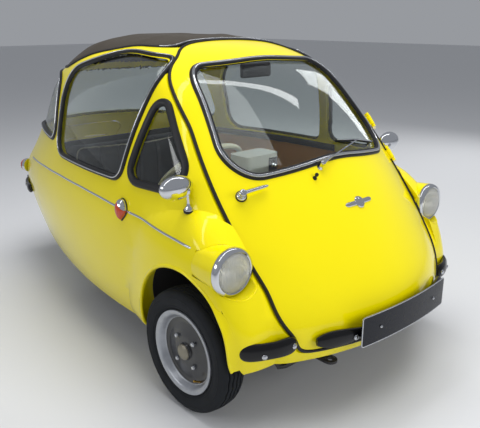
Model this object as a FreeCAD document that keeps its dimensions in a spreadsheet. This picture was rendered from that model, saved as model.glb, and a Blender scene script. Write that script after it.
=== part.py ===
import FreeCAD, Part
import math
import Sketcher
import os
import re

# A three-wheeled bubble car: a steel tub whose whole front is a door with the windscreen in it,
# large side and rear windows under a fabric roof, two steered front wheels in bulging fenders and
# one driven wheel in the tail. The nose points along -Y, the driver's right is -X, +Z is up and
# the origin is on the ground under the middle of the whole car. All sizes are in millimetres.
doc = FreeCAD.newDocument("BubbleCar")
V = FreeCAD.Vector
Rotation = FreeCAD.Rotation
Placement = FreeCAD.Placement

SIZES = [
    ("wall", 30),
    ("panel_gap", 8),
    ("glass_thick", 5),
    ("glass_depth", 8),
    ("roof_thick", 18),
    ("door_bottom", 299),
    ("tail_split", 640),
    ("tail_top", 826),
    ("axle_height", 236),
    ("front_axle_y", -770),
    ("rear_axle_y", 985),
    ("front_track", 1220),
    ("tyre_radius", 236),
    ("tyre_width", 112),
    ("rim_seat_radius", 150),
    ("rim_lip_radius", 160),
    ("rim_half_width", 50),
    ("rim_metal", 6),
    ("disc_inset", 24),
    ("drum_radius", 80),
    ("hub_bore", 20.2),
    ("stub_diameter", 20),
    ("kingpin_inset", 20),
    ("kingpin_diameter", 18),
    ("kingpin_boss", 36),
    ("kingpin_height", 90),
    ("pin_clear", 0.1),
    ("fork_thick", 14),
    ("fork_gap", 1),
    ("fork_reach", 30),
    ("axle_tube", 60),
    ("arch_radius", 245),
    ("arch_center_z", 318),
    ("house_radius", 272),
    ("house_inner_x", 400),
    ("house_metal", 8),
    ("floor_height", 200),
    ("floor_thick", 16),
    ("floor_front", -1060),
    ("tow_eye_x", -262),
    ("tow_reach", 75),
    ("tow_thick", 10),
    ("tow_radius", 26),
    ("tow_bore", 24),
    ("bulkhead_y", 470),
    ("bulkhead_thick", 20),
    ("bulkhead_top", 800),
    ("lamp_x", 598),
    ("lamp_y", -975),
    ("lamp_z", 597),
    ("lamp_radius", 86),
    ("lamp_length", 120),
    ("bumper_height", 62),
    ("bumper_depth", 34),
    ("bumper_z", 345),
    ("door_bar_reach", 395),
    ("plate_width", 520),
    ("plate_height", 108),
    ("plate_thick", 2.5),
    ("plate_sweep", 18),
    ("plate_rise", 19),
    ("seat_width", 980),
    ("seat_depth", 470),
    ("seat_top", 430),
    ("seat_back_top", 804),
    ("seat_back_width", 920),
    ("seat_round", 60),
    ("cushion_thick", 130),
    ("soft_gap", 0.3),
    ("wheel_rim_radius", 190),
    ("wheel_rim_tube", 22),
    ("shaft_radius", 8),
    ("column_radius", 20),
    ("column_length", 820),
    ("pod_width", 170),
    ("pod_deep", 110),
    ("pod_tall", 96),
    ("pod_round", 22),
    ("pod_left", 300),
    ("pod_front", 735),
    ("pod_bottom", 800),
    ("engine_width", 300),
    ("engine_length", 240),
    ("engine_tall", 300),
    ("pipe_radius", 19),
    ("pipe_length", 480),
    ("hinge_x", 530),
    ("hinge_y", -975),
    ("hinge_z", 605),
    ("hinge_barrel", 18),
    ("hinge_pin", 9),
    ("hinge_length", 44),
    ("hinge_rise", 9),
    ("hinge_clear", 0.1),
    ("hinge_leaf", 9),
    ("leaf_long", 60),
    ("leaf_deep", 30),
    ("knuckle_long", 12),
    ("knuckle_gap", 2),
    ("lid_half_width", 230),
    ("lid_bottom", 460),
    ("lid_top", 790),
    ("lid_gap", 5),
    ("louvre_width", 150),
    ("louvre_tall", 9),
    ("louvre_pitch", 32),
    ("louvre_low", 560),
    ("mirror_radius", 62),
]

sheet = doc.addObject("Spreadsheet::Sheet", "Sizes")
for line, (alias, value) in enumerate(SIZES, start=1):
    sheet.set("A%d" % line, alias)
    sheet.set("B%d" % line, str(value))
    sheet.setAlias("B%d" % line, alias)
doc.recompute()


def size(alias):
    return float(sheet.get(alias))


parts = []


def keep(label, feature):
    feature.Label = label
    parts.append(feature)
    return feature


def solid_node(label, shape, place=None):
    """A sub-part whose solid is worked out from the hull."""
    feature = doc.addObject("Part::Feature", label)
    feature.Shape = shape
    if place is not None:
        feature.Placement = place
    return keep(label, feature)


# Plan outlines: an oval of eight tangent arcs, mirrored about its own middle line. The nose and
# tail arcs have their centres on that line, and a corner arc joins each of them to a side arc.
def corner_arc(end_v, end_r, end_sign, side_u, side_v, side_r, corner_r):
    end_center = (0.0, end_v + end_sign * end_r)
    reach_end = end_r - corner_r
    reach_side = side_r - corner_r
    du = side_u - end_center[0]
    dv = side_v - end_center[1]
    span = math.hypot(du, dv)
    along = (reach_end ** 2 - reach_side ** 2 + span ** 2) / (2 * span)
    across = math.sqrt(reach_end ** 2 - along ** 2)
    choices = []
    for turn in (1, -1):
        u = end_center[0] + along * du / span - turn * across * dv / span
        v = end_center[1] + along * dv / span + turn * across * du / span
        if u > 0:
            choices.append((v * end_sign, u, v))
    center = min(choices)[1:]

    def on_corner(u, v):
        length = math.hypot(u, v)
        return (center[0] + u / length * corner_r, center[1] + v / length * corner_r)

    at_end = on_corner(center[0] - end_center[0], center[1] - end_center[1])
    at_side = on_corner(center[0] - side_u, center[1] - side_v)
    middle = on_corner((at_end[0] + at_side[0]) / 2 - center[0], (at_end[1] + at_side[1]) / 2 - center[1])
    return at_end, middle, at_side


def oval(z, row, center_x):
    """One closed wire at height z from a row of arc sizes."""
    front_y, front_r, half, side_y, side_r, rear_y, rear_r, front_corner, rear_corner = row
    side_u = half - side_r
    nose = corner_arc(front_y, front_r, 1, side_u, side_y, side_r, front_corner)
    tail = corner_arc(rear_y, rear_r, -1, side_u, side_y, side_r, rear_corner)
    du = (nose[2][0] + tail[2][0]) / 2 - side_u
    dv = (nose[2][1] + tail[2][1]) / 2 - side_y
    flank = (side_u + du / math.hypot(du, dv) * side_r, side_y + dv / math.hypot(du, dv) * side_r)
    arcs = [((-nose[0][0], nose[0][1]), (0.0, front_y), nose[0])]
    right = [nose, (nose[2], flank, tail[2]), (tail[2], tail[1], tail[0])]
    arcs += right
    arcs.append((tail[0], (0.0, rear_y), (-tail[0][0], tail[0][1])))
    arcs += [tuple((-u, v) for u, v in reversed(arc)) for arc in reversed(right)]
    edges = [Part.Arc(*[V(center_x + u, v, z) for u, v in arc]).toShape() for arc in arcs]
    return Part.Wire(edges)


# The hull from the sill to the top of the roof:
# height, nose y, nose arc, half width, widest y, side arc, tail y, tail arc, front and rear corner
HULL = [
    (200, -1185, 1000, 570, -400, 3500, 1130, 700, 190, 150),
    (290, -1235, 950, 605, -400, 3700, 1225, 700, 190, 140),
    (420, -1235, 900, 632, -400, 3900, 1279, 700, 190, 130),
    (540, -1168, 900, 640, -380, 3900, 1275, 700, 190, 130),
    (680, -1070, 870, 630, -340, 3300, 1140, 640, 190, 150),
    (820, -960, 850, 605, -290, 2700, 1000, 560, 190, 170),
    (980, -817, 850, 565, -210, 2250, 870, 520, 200, 190),
    (1120, -678, 850, 518, -130, 1850, 725, 500, 200, 200),
    (1220, -530, 800, 457, -50, 1450, 570, 450, 200, 200),
    (1262, -432, 720, 398, 0, 1250, 480, 430, 190, 190),
    (1292, -330, 620, 325, 30, 1000, 385, 400, 165, 165),
    (1310, -225, 480, 240, 35, 720, 285, 340, 130, 130),
    (1318, -120, 330, 150, 35, 450, 185, 260, 90, 90),
]

# One front fender, as the same kind of plan outlines about its own middle line:
# height, middle x, then the columns of the hull
FENDER = [
    (235, 480, -1065, 420, 180, -760, 1300, -340, 300, 110, 60),
    (330, 484, -1095, 420, 200, -760, 1250, -330, 300, 110, 60),
    (430, 484, -1078, 420, 201, -760, 1250, -330, 300, 110, 60),
    (530, 482, -1038, 420, 198, -760, 1250, -330, 300, 110, 60),
    (620, 478, -985, 400, 190, -750, 1200, -330, 300, 105, 60),
    (690, 470, -920, 380, 174, -735, 1100, -340, 280, 95, 55),
    (735, 462, -860, 340, 148, -715, 900, -370, 250, 80, 50),
    (765, 455, -795, 280, 112, -690, 700, -420, 200, 60, 40),
]


def lean(rows, index):
    """How far the skin leans in at a row, as an angle, from the rows below and above it."""
    low = rows[max(index - 1, 0)]
    high = rows[min(index + 1, len(rows) - 1)]
    rise = high[0] - low[0]
    fall = ((high[1] - low[1]) + (low[3] - high[3]) + (low[6] - high[6])) / 3
    return math.atan2(fall, rise)


def hull_solid(inset):
    """The hull's skin moved inwards by inset, as a closed solid. It has the hull's own arcs,
    with the same centres, so that walls, glass and seals are as thick all round."""
    wires = []
    for index, row in enumerate(HULL):
        angle = max(lean(HULL, index), 0.0)
        if index == len(HULL) - 1:
            angle = math.radians(82)
        shift = inset * math.cos(angle)
        z = row[0] - inset * math.sin(angle)
        if index == 0:
            z = row[0] - max(inset, 0.0)
        arcs = (
            row[1] + shift, row[2] - shift, row[3] - shift, row[4], row[5] - shift,
            row[6] - shift, row[7] - shift, row[8] - shift, row[9] - shift,
        )
        wires.append(oval(z, arcs, 0.0))
    return Part.makeLoft(wires, True, False)


def fender_solid(side):
    wires = [oval(row[0], row[2:], side * row[1]) for row in FENDER]
    return Part.makeLoft(wires, True, False)


def rounded(corners, to_space):
    """A closed face with straight sides and an arc at each corner. corners holds u, v and
    the corner's radius; to_space turns u, v into a point."""
    count = len(corners)
    ends = []
    for index in range(count):
        u, v, radius = corners[index]
        before = corners[index - 1]
        after = corners[(index + 1) % count]
        back = (before[0] - u, before[1] - v)
        ahead = (after[0] - u, after[1] - v)
        back_length = math.hypot(*back)
        ahead_length = math.hypot(*ahead)
        back = (back[0] / back_length, back[1] / back_length)
        ahead = (ahead[0] / ahead_length, ahead[1] / ahead_length)
        half = math.acos(max(-1.0, min(1.0, back[0] * ahead[0] + back[1] * ahead[1]))) / 2
        reach = radius / math.tan(half)
        bisector = (back[0] + ahead[0], back[1] + ahead[1])
        bisector_length = math.hypot(*bisector)
        depth = radius / math.sin(half) - radius
        first = (u + back[0] * reach, v + back[1] * reach)
        last = (u + ahead[0] * reach, v + ahead[1] * reach)
        middle = (u + bisector[0] / bisector_length * depth, v + bisector[1] / bisector_length * depth)
        ends.append((first, middle, last))
    edges = []
    for index in range(count):
        first, middle, last = ends[index]
        edges.append(Part.Arc(to_space(*first), to_space(*middle), to_space(*last)).toShape())
        following = ends[(index + 1) % count][0]
        start = to_space(*last)
        stop = to_space(*following)
        if start.distanceToPoint(stop) > 0.01:
            edges.append(Part.makeLine(start, stop))
    return Part.Face(Part.Wire(edges))


def side_prism(corners, x_from, x_to):
    """corners are y, z and radius, seen from the side."""
    return rounded(corners, lambda y, z: V(x_from, y, z)).extrude(V(x_to - x_from, 0, 0))


def front_prism(corners, y_from, y_to):
    """corners are x, z and radius, seen from the front."""
    return rounded(corners, lambda x, z: V(x, y_from, z)).extrude(V(0, y_to - y_from, 0))


def box(x_from, x_to, y_from, y_to, z_from, z_to):
    return Part.makeBox(x_to - x_from, y_to - y_from, z_to - z_from, V(x_from, y_from, z_from))


def mirrored(shape):
    return shape.mirror(V(0, 0, 0), V(1, 0, 0))


def pair(left):
    """A left piece and its mirror image, as one sub-part."""
    return Part.makeCompound([left, mirrored(left)])


wall = size("wall")
gap = size("panel_gap")
hull = hull_solid(0.0)
hull_inner = hull_solid(wall)
shell = hull.cut(hull_inner)
far = 900.0


def skin_y(x, z, rear=False):
    """Where the hull's skin is in front of, or behind, a point of the front view."""
    probe = Part.makeLine(V(x, -2000, z), V(x, 2000, z)).common(hull)
    return probe.BoundBox.YMax if rear else probe.BoundBox.YMin


# Side views of the seam, the windows, the fabric's edge and the underside: y, z, corner radius
SEAM = [
    (-150, 1400, 5), (-262, 1306, 60), (-372, 1250, 120), (-620, 1022, 500),
    (-1040, 512, 400), (-1132, 355, 60), (-1134, size("door_bottom"), 22),
    (-1500, size("door_bottom"), 5), (-1500, 1400, 5),
]
REAR_SIDE_WINDOW = [
    (-335, 792, 55), (-428, 1236, 75), (-110, 1262, 500), (300, 1160, 180), (297, 795, 80),
]
QUARTER_WINDOW = [(-745, 800, 62), (-462, 1140, 38), (-378, 797, 50)]
REAR_WINDOW = [(350, 842, 60), (402, 1140, 70), (1300, 1140, 20), (1300, 842, 20)]
ROOF_EDGE = [
    (-330, 1600, 5), (-330, 1279, 5), (-100, 1285, 300), (130, 1246, 300), (360, 1172, 200),
    (900, 1168, 5), (900, 1600, 5),
]
UNDERSIDE = [
    (-1500, 100, 5), (-1500, 255, 5), (-1050, 255, 60), (-980, 190, 60), (700, 190, 60),
    (790, 345, 120), (960, 430, 100), (1500, 440, 5), (1500, 100, 5),
]
WINDSCREEN = [
    (0, 887, 900), (-458, 838, 85), (-370, 1210, 100), (0, 1232, 1500), (370, 1210, 100), (458, 838, 85),
]
ENGINE_LID = [
    (-size("lid_half_width"), size("lid_bottom"), 60), (-size("lid_half_width"), size("lid_top"), 60),
    (size("lid_half_width"), size("lid_top"), 60), (size("lid_half_width"), size("lid_bottom"), 60),
]


def shifted(corners, du, dv):
    return [(u + du, v + dv, radius) for u, v, radius in corners]


# Wheel arches: an upright U in the side view, wide open at the lip and wider behind it
def arch_outline(radius):
    y = size("front_axle_y")
    z = size("arch_center_z")
    return [
        (y - radius, z + radius, radius - 0.5), (y - radius, 100, 1),
        (y + radius, 100, 1), (y + radius, z + radius, radius - 0.5),
    ]


def arch_void():
    lip_x = size("front_track") / 2 + 48
    lip = side_prism(arch_outline(size("arch_radius")), 450, far)
    house = side_prism(arch_outline(size("house_radius")), size("house_inner_x"), lip_x)
    return lip.fuse(house)


# Side panels: each is one half of the tub's skin with its fender, cut along the door's seam,
# the tail panel's split, the windows, the fabric's edge and the wheel arch
door_zone = hull_solid(-gap).common(side_prism(shifted(SEAM, gap * 0.75, -gap * 0.7), -far, far))
roof_zone = side_prism(ROOF_EDGE, -far, far)
underside = side_prism(UNDERSIDE, -far, far)
tail_zone = box(-far, far, size("tail_split"), 1500, 0, size("tail_top"))


def lamp_cylinder(side, radius, y_from, y_to):
    start = V(side * size("lamp_x"), y_from, size("lamp_z"))
    return Part.makeCylinder(radius, y_to - y_from, start, V(0, 1, 0))


def largest(shape):
    """The one solid that a cut leaves, without slivers."""
    solids = sorted(shape.Solids, key=lambda solid: solid.Volume)
    return solids[-1]


# The door swings on a slanting line beside its seam, and nothing stands in front of it inside
# that line
door_axis = V(-0.057, 0.62, 0.78)
door_axis.normalize()
door_line = (V(size("hinge_x"), size("hinge_y"), size("hinge_z")), door_axis)


def beside_line(z):
    return door_line[0].x + (z - door_line[0].z) * door_axis.x / door_axis.z - gap


swing_room = front_prism([
    (300, 250, 1), (300, 1000, 1), (beside_line(1000), 1000, 1), (beside_line(250), 250, 1),
], -1500, -700).common(side_prism(shifted(SEAM, gap * 0.75, -gap * 0.7), 0, far))
left_half = box(0, far, -1500, 1500, 0, 1600)
side_windows = [
    side_prism(REAR_SIDE_WINDOW, 300, far), side_prism(QUARTER_WINDOW, 300, far),
    side_prism(REAR_WINDOW, -far, far),
]
lamp_pocket = lamp_cylinder(1, size("lamp_radius") - 6, size("lamp_y"), size("lamp_y") + size("lamp_length"))
lamp_seat = lamp_cylinder(1, size("lamp_radius") + 1, size("lamp_y") - 200, size("lamp_y"))
side_cutters = [door_zone, swing_room, roof_zone, tail_zone, underside, arch_void(), lamp_pocket, lamp_seat]
side_panel = shell.common(left_half).fuse(fender_solid(1).cut(hull_inner))
side_panel = largest(side_panel.cut(side_cutters + side_windows))
solid_node("side_panel_left", side_panel)
solid_node("side_panel_right", mirrored(side_panel))

# Hinges: a barrel on the moving panel turns on a pin whose two knuckles stand on the fixed one
hinge_over = 6
leaf_sink = 6
leaf = size("hinge_leaf")
knuckle_long = size("knuckle_long")
knuckle_gap = size("knuckle_gap")


def along_hinge(line, start, stop, radius):
    return Part.makeCylinder(radius, stop - start, line[0] + line[1] * start, line[1])


def hinge_leaf(line, start, stop, along, reach, across_from, across_to):
    """A flat leaf that runs from the hinge line, reach long in the direction along."""
    across = line[1].cross(along)
    corner = line[0] + line[1] * start + across * across_from
    block = Part.makeBox(reach, across_to - across_from, stop - start)
    block.Placement = Placement(corner, Rotation(along, across, line[1]))
    return block


def hinge(line, place, long, barrel_r, pin_r):
    """The barrel and the pin of one hinge at a place along its line, each with its leaves."""
    point = line[0] + line[1] * (place + long / 2)
    inwards = Part.Vertex(point).distToShape(hull)[1][0][1] - point
    inwards = inwards - line[1] * inwards.dot(line[1])
    distance = inwards.Length
    inwards.normalize()
    stop = place + long
    barrel = along_hinge(line, place, stop, barrel_r)
    barrel = barrel.fuse(
        hinge_leaf(line, place, stop, inwards, distance + leaf_sink, -leaf / 2, leaf / 2))
    barrel = barrel.cut(along_hinge(line, place - 5, stop + 5, pin_r + size("hinge_clear")))
    reach = knuckle_long + knuckle_gap
    pin = along_hinge(line, place - reach, stop + reach, pin_r)
    for start in (place - reach, stop + knuckle_gap):
        knuckle_end = start + knuckle_long
        pin = pin.fuse([
            along_hinge(line, start, knuckle_end, barrel_r - 1),
            hinge_leaf(
                line, start, knuckle_end, inwards.cross(line[1]),
                size("leaf_long"), -leaf / 2, size("leaf_deep")),
        ])
    return barrel, pin


barrel_r = size("hinge_barrel") / 2
hinge_pin_r = size("hinge_pin") / 2
barrel_long = size("hinge_length")
hinge_pins = []

# Tail panel: the closed tail behind the cabin, with the engine lid's opening in it
lid_opening = front_prism(ENGINE_LID, 850, 1500)
tail = shell.common(tail_zone).cut([underside, lid_opening])
tail = largest(tail)
solid_node("tail_panel", tail)

# Engine lid: a panel of the tail with two columns of cooling slots, hinged along its top edge
lid_gap = size("lid_gap")
lid_middle = (size("lid_bottom") + size("lid_top")) / 2
lid_corners = [
    (x - math.copysign(lid_gap, x), z - math.copysign(lid_gap, z - lid_middle), radius)
    for x, z, radius in ENGINE_LID
]
lid = shell.common(front_prism(lid_corners, 850, 1500))
for row in range(5):
    slot_z = size("louvre_low") + row * size("louvre_pitch")
    for middle in (-105, 105):
        half = size("louvre_width") / 2
        lid = lid.cut(box(middle - half, middle + half, 850, 1500, slot_z, slot_z + size("louvre_tall")))
lid_axis_z = size("lid_top") - 15
lid_rise = size("hinge_rise")
lid_line = (V(0, skin_y(0, lid_axis_z, True) + lid_rise, lid_axis_z + lid_rise), V(1, 0, 0))
over_lid = hull_solid(-hinge_over).common(front_prism(ENGINE_LID, 850, 1500))
for place in (-160, 160 - barrel_long):
    barrel, pin = hinge(lid_line, place, barrel_long, barrel_r, hinge_pin_r)
    lid = lid.fuse(barrel)
    hinge_pins.append(largest(pin.cut([over_lid, tail, hull])))
solid_node("engine_lid", largest(lid))

# Door: the whole nose in front of the seam, with the windscreen's opening in it
windscreen_prism = front_prism(WINDSCREEN, -1300, -330)
door = shell.common(side_prism(SEAM, -far, far)).cut(windscreen_prism)
over_door = hull_solid(-hinge_over).common(side_prism(shifted(SEAM, gap, -gap), 300, far))
for place in (240, 420):
    barrel, pin = hinge(door_line, place, barrel_long, barrel_r, hinge_pin_r)
    door = door.fuse(barrel)
    hinge_pins.append(largest(pin.cut([over_door, side_panel, hull])))
solid_node("door_panel", largest(door))
solid_node("hinge_pins", Part.makeCompound(hinge_pins))

# Glass: sheets that follow the hull a little below its skin and fill their openings
glass_shell = hull_solid(size("glass_depth")).cut(hull_solid(size("glass_depth") + size("glass_thick")))
solid_node("windscreen", largest(glass_shell.common(windscreen_prism)))
for label, opening in (("side_window", side_windows[0]), ("quarter_window", side_windows[1])):
    pane = largest(glass_shell.common(opening))
    solid_node(label + "_left", pane)
    solid_node(label + "_right", mirrored(pane))
solid_node("rear_window", largest(glass_shell.common(side_windows[2])))

# Fabric roof: the top of the hull inside the rails, as thick as the cloth with its lining
roof = hull.cut(hull_solid(size("roof_thick"))).common(side_prism(shifted(ROOF_EDGE, 0.5, 0.5), -far, far))
roof = roof.cut(door_zone)
solid_node("fabric_roof", largest(roof))

# Floor pan with its towing eye, wheel houses and the bulkhead behind the seat
floor_z = size("floor_height")
floor_top = floor_z + size("floor_thick")
floor_front = size("floor_front")
bulkhead_y = size("bulkhead_y")
bulkhead_back = bulkhead_y + size("bulkhead_thick")
floor_plate = hull_inner.common(box(-far, far, floor_front, bulkhead_back, floor_z, floor_top))
house_metal = size("house_metal")
house_outer = side_prism(
    arch_outline(size("house_radius") + house_metal), size("house_inner_x") - house_metal, far)
house_inner = side_prism(arch_outline(size("house_radius")), size("house_inner_x"), far)
floor_plate = largest(floor_plate.cut([house_outer, mirrored(house_outer)]))
eye_x = size("tow_eye_x")
eye_r = size("tow_radius")
eye_y = floor_front - size("tow_reach")
eye_top = floor_z + size("tow_thick")
eye = box(eye_x - eye_r, eye_x + eye_r, eye_y, floor_front + 5, floor_z, eye_top)
eye = eye.fuse(Part.makeCylinder(eye_r, size("tow_thick"), V(eye_x, eye_y, floor_z)))
eye_hole = Part.makeCylinder(size("tow_bore") / 2, 40, V(eye_x, eye_y, floor_z - 10))
solid_node("floor_pan", largest(floor_plate.fuse(eye).cut(eye_hole)))
wheel_house = house_outer.cut(house_inner).common(hull_inner).cut(lamp_pocket)
wheel_house = largest(wheel_house.common(box(0, far, -1200, 0, floor_z, 800)))
solid_node("wheel_houses", pair(wheel_house))
bulkhead = hull_inner.common(box(-far, far, bulkhead_y, bulkhead_back, floor_top, size("bulkhead_top")))
solid_node("rear_bulkhead", largest(bulkhead))


# Sketched and primitive pieces: each size and place in them is a formula of the sheet's names
def bound(formula):
    """The formula with its names as the other objects read them."""
    return re.sub("[a-z][a-z_]+", lambda word: "Sizes." + word.group(), str(formula))


def value(formula):
    return float(sheet.evalExpression(bound(formula)))


def stand_at(feature, x, y, z, turned=None):
    """Puts a piece's own origin at a place of formulas, turned first if need be."""
    feature.Placement = Placement(V(0, 0, 0), turned or Rotation())
    for axis, formula in (("x", x), ("y", y), ("z", z)):
        feature.setExpression("Placement.Base." + axis, bound(formula))
    return feature


def new_sketch(body, name, role):
    sketch = body.newObject("Sketcher::SketchObject", name)
    for feature in body.Origin.OriginFeatures:
        if getattr(feature, "Role", "") == role:
            sketch.AttachmentSupport = [(feature, "")]
    sketch.MapMode = "FlatFace"
    return sketch


def draw(sketch, points):
    """A closed outline: each point is u, v, or u, v with the point that an arc to the next
    point passes through."""
    count = len(points)
    places = [[value(formula) for formula in point] for point in points]
    ends = []
    for index in range(count):
        start = V(places[index][0], places[index][1], 0)
        following = places[(index + 1) % count]
        stop = V(following[0], following[1], 0)
        if len(places[index]) == 4:
            middle = V(places[index][2], places[index][3], 0)
            sketch.addGeometry(Part.Arc(start, middle, stop), False)
        else:
            sketch.addGeometry(Part.LineSegment(start, stop), False)
        forward = sketch.getPoint(index, 1).distanceToPoint(start) < 0.001
        ends.append((1, 2) if forward else (2, 1))
    for index in range(count):
        following = (index + 1) % count
        sketch.addConstraint(
            Sketcher.Constraint("Coincident", index, ends[index][1], following, ends[following][0]))
        for kind, at, formula in zip(("DistanceX", "DistanceY"), places[index], points[index]):
            number = sketch.addConstraint(
                Sketcher.Constraint(kind, -1, 1, index, ends[index][0], at))
            sketch.setExpression("Constraints[%d]" % number, bound(formula))


def revolved(label, points):
    """A body turned about its own X axis; each point is a place along it and a radius."""
    body = doc.addObject("PartDesign::Body", label)
    sketch = new_sketch(body, label + "_profile", "XY_Plane")
    draw(sketch, points)
    turn = body.newObject("PartDesign::Revolution", label + "_turn")
    turn.Profile = sketch
    turn.ReferenceAxis = (sketch, ["H_Axis"])
    turn.Angle = 360
    body.Tip = turn
    return body


def padded(label, points, length, role="XY_Plane", midplane=False):
    body = doc.addObject("PartDesign::Body", label)
    sketch = new_sketch(body, label + "_outline", role)
    draw(sketch, points)
    pad = body.newObject("PartDesign::Pad", label + "_pad")
    pad.Profile = sketch
    pad.setExpression("Length", bound(length))
    pad.Midplane = midplane
    body.Tip = pad
    return body


def rounded_rectangle(left, right, front, back, radius):
    """The points of a rectangle with an arc at each corner, for a sketch."""
    near = "%s * 0.2929" % radius
    corners = [
        (left, front, "+", "+"), (right, front, "-", "+"),
        (right, back, "-", "-"), (left, back, "+", "-"),
    ]
    points = []
    for index, (u, v, inwards_u, inwards_v) in enumerate(corners):
        beside = (u, "%s %s %s" % (v, inwards_v, radius))
        along = ("%s %s %s" % (u, inwards_u, radius), v)
        middle = ("%s %s %s" % (u, inwards_u, near), "%s %s %s" % (v, inwards_v, near))
        first, last = (beside, along) if index % 2 == 0 else (along, beside)
        points.append(first + middle)
        points.append(last)
    return points


def cylinder(name, radius, length, x, y, z, along=V(0, 0, 1)):
    feature = doc.addObject("Part::Cylinder", name)
    feature.setExpression("Radius", bound(radius))
    feature.setExpression("Height", bound(length))
    return stand_at(feature, x, y, z, Rotation(V(0, 0, 1), along))


def block(name, length, width, height, x, y, z):
    feature = doc.addObject("Part::Box", name)
    for side, formula in (("Length", length), ("Width", width), ("Height", height)):
        feature.setExpression(side, bound(formula))
    return stand_at(feature, x, y, z)


def joined(name, pieces):
    feature = doc.addObject("Part::MultiFuse", name)
    feature.Shapes = pieces
    feature.Refine = True
    return feature


def cut_by(name, base, tool):
    feature = doc.addObject("Part::Cut", name)
    feature.Base = base
    feature.Tool = tool
    return feature


def mirror_image(name, source):
    feature = doc.addObject("Part::Mirroring", name)
    feature.Source = source
    feature.Base = V(0, 0, 0)
    feature.Normal = V(1, 0, 0)
    return feature


def both_sides(name, source):
    feature = doc.addObject("Part::Compound", name)
    feature.Links = [source, mirror_image(name + "_right", source)]
    return feature


# Wheels: a tyre and a pressed steel disc wheel with its brake drum on the inner side
BEAD = "(rim_half_width - rim_metal)"
DISC = "(rim_half_width - disc_inset)"
WELL = "(rim_seat_radius - rim_metal - 4)"
HALF_TREAD = "(tyre_width / 2)"
TYRE = [
    ("-" + BEAD, "rim_seat_radius"),
    ("-" + BEAD, "rim_lip_radius + 4", "-" + HALF_TREAD, "rim_lip_radius + 37"),
    ("5 - " + HALF_TREAD, "tyre_radius - 14", "14 - " + HALF_TREAD, "tyre_radius - 6"),
    ("18 - " + HALF_TREAD, "tyre_radius - 4", "0", "tyre_radius"),
    (HALF_TREAD + " - 18", "tyre_radius - 4", HALF_TREAD + " - 14", "tyre_radius - 6"),
    (HALF_TREAD + " - 5", "tyre_radius - 14", HALF_TREAD, "rim_lip_radius + 37"),
    (BEAD, "rim_lip_radius + 4"),
    (BEAD, "rim_seat_radius"),
]
RIM = [
    ("rim_half_width + 4", "0"),
    ("rim_half_width + 4", "10", "rim_half_width", "22"),
    ("rim_half_width - 6", "29"),
    (DISC + " + 8", "34"),
    (DISC + " + 8", "50"),
    (DISC, "84"),
    (DISC + " - rim_metal", "114"),
    (DISC, "132"),
    ("rim_half_width - 8", WELL),
    ("rim_half_width", "rim_seat_radius"),
    ("rim_half_width", "rim_lip_radius"),
    (BEAD, "rim_lip_radius"),
    (BEAD, "rim_seat_radius"),
    ("-" + BEAD, "rim_seat_radius"),
    ("-" + BEAD, "rim_lip_radius"),
    ("-rim_half_width", "rim_lip_radius"),
    ("-rim_half_width", "rim_seat_radius - 4"),
    ("10 - rim_half_width", WELL),
    (DISC + " - 12", WELL + " - 2"),
    (DISC + " - 14", "114"),
    (DISC + " - 12", "drum_radius"),
    ("3", "drum_radius"),
    ("3", "hub_bore / 2"),
    (DISC, "hub_bore / 2"),
    (DISC, "0"),
]
WHEELS = [
    # name, x, y, turned
    ("front_left", "front_track / 2", "front_axle_y", 0),
    ("front_right", "-front_track / 2", "front_axle_y", 180),
    ("rear", "0", "rear_axle_y", 0),
]
for name, x, y, angle in WHEELS:
    for label, profile in (("tyre_" + name, TYRE), ("rim_" + name, RIM)):
        turned = Rotation(V(0, 0, 1), angle)
        keep(label, stand_at(revolved(label, profile), x, y, "axle_height", turned))

# Front suspension: a short cross tube from the wheel house with a fork that holds the kingpin,
# and on the kingpin the knuckle with its stub axle
KINGPIN_X = "(front_track / 2 - kingpin_inset)"
BOSS_BOTTOM = "(axle_height - kingpin_height / 2)"
BOSS_TOP = "(axle_height + kingpin_height / 2)"
FORK_BOTTOM = "(axle_height - kingpin_height / 2 - fork_gap - fork_thick)"
SPINE_X = "(front_track / 2 - kingpin_inset - kingpin_boss / 2 - fork_reach)"

boss = cylinder(
    "knuckle_boss", "kingpin_boss / 2", "kingpin_height", KINGPIN_X, "front_axle_y", BOSS_BOTTOM)
stub = cylinder(
    "front_stub_axle", "stub_diameter / 2", "kingpin_inset + " + DISC + " - 2",
    KINGPIN_X, "front_axle_y", "axle_height", V(1, 0, 0))
track_arm = block("track_arm", 20, 95, 10, KINGPIN_X + " - 12", "front_axle_y", BOSS_BOTTOM)
pin_hole = cylinder(
    "kingpin_hole", "kingpin_diameter / 2 + pin_clear", "kingpin_height + 20",
    KINGPIN_X, "front_axle_y", BOSS_BOTTOM + " - 10")
forging = joined("knuckle_forging", [boss, stub, track_arm])
knuckle = keep("knuckle_left", cut_by("knuckle_left", forging, pin_hole))
keep("knuckle_right", mirror_image("knuckle_right", knuckle))

ARM_FRONT = "front_axle_y - kingpin_boss / 2"
arm_pieces = [
    cylinder(
        "kingpin", "kingpin_diameter / 2", "kingpin_height + 2 * fork_gap + 2 * fork_thick",
        KINGPIN_X, "front_axle_y", FORK_BOTTOM),
    block(
        "arm_spine", 16, "kingpin_boss", "kingpin_height + 2 * fork_gap + 2 * fork_thick",
        SPINE_X + " - 16", ARM_FRONT, FORK_BOTTOM),
    cylinder(
        "cross_tube", "axle_tube / 2", SPINE_X + " - 16 - house_inner_x",
        "house_inner_x", "front_axle_y", "axle_height", V(1, 0, 0)),
]
for ear_z in (BOSS_TOP + " + fork_gap", FORK_BOTTOM):
    arm_pieces.append(cylinder(
        "fork_eye", "kingpin_boss / 2", "fork_thick", KINGPIN_X, "front_axle_y", ear_z))
    arm_pieces.append(block(
        "fork_ear", "kingpin_boss / 2 + fork_reach", "kingpin_boss", "fork_thick", SPINE_X, ARM_FRONT, ear_z))
keep("suspension_arms", both_sides("suspension_arms", joined("axle_fork", arm_pieces)))

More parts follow.
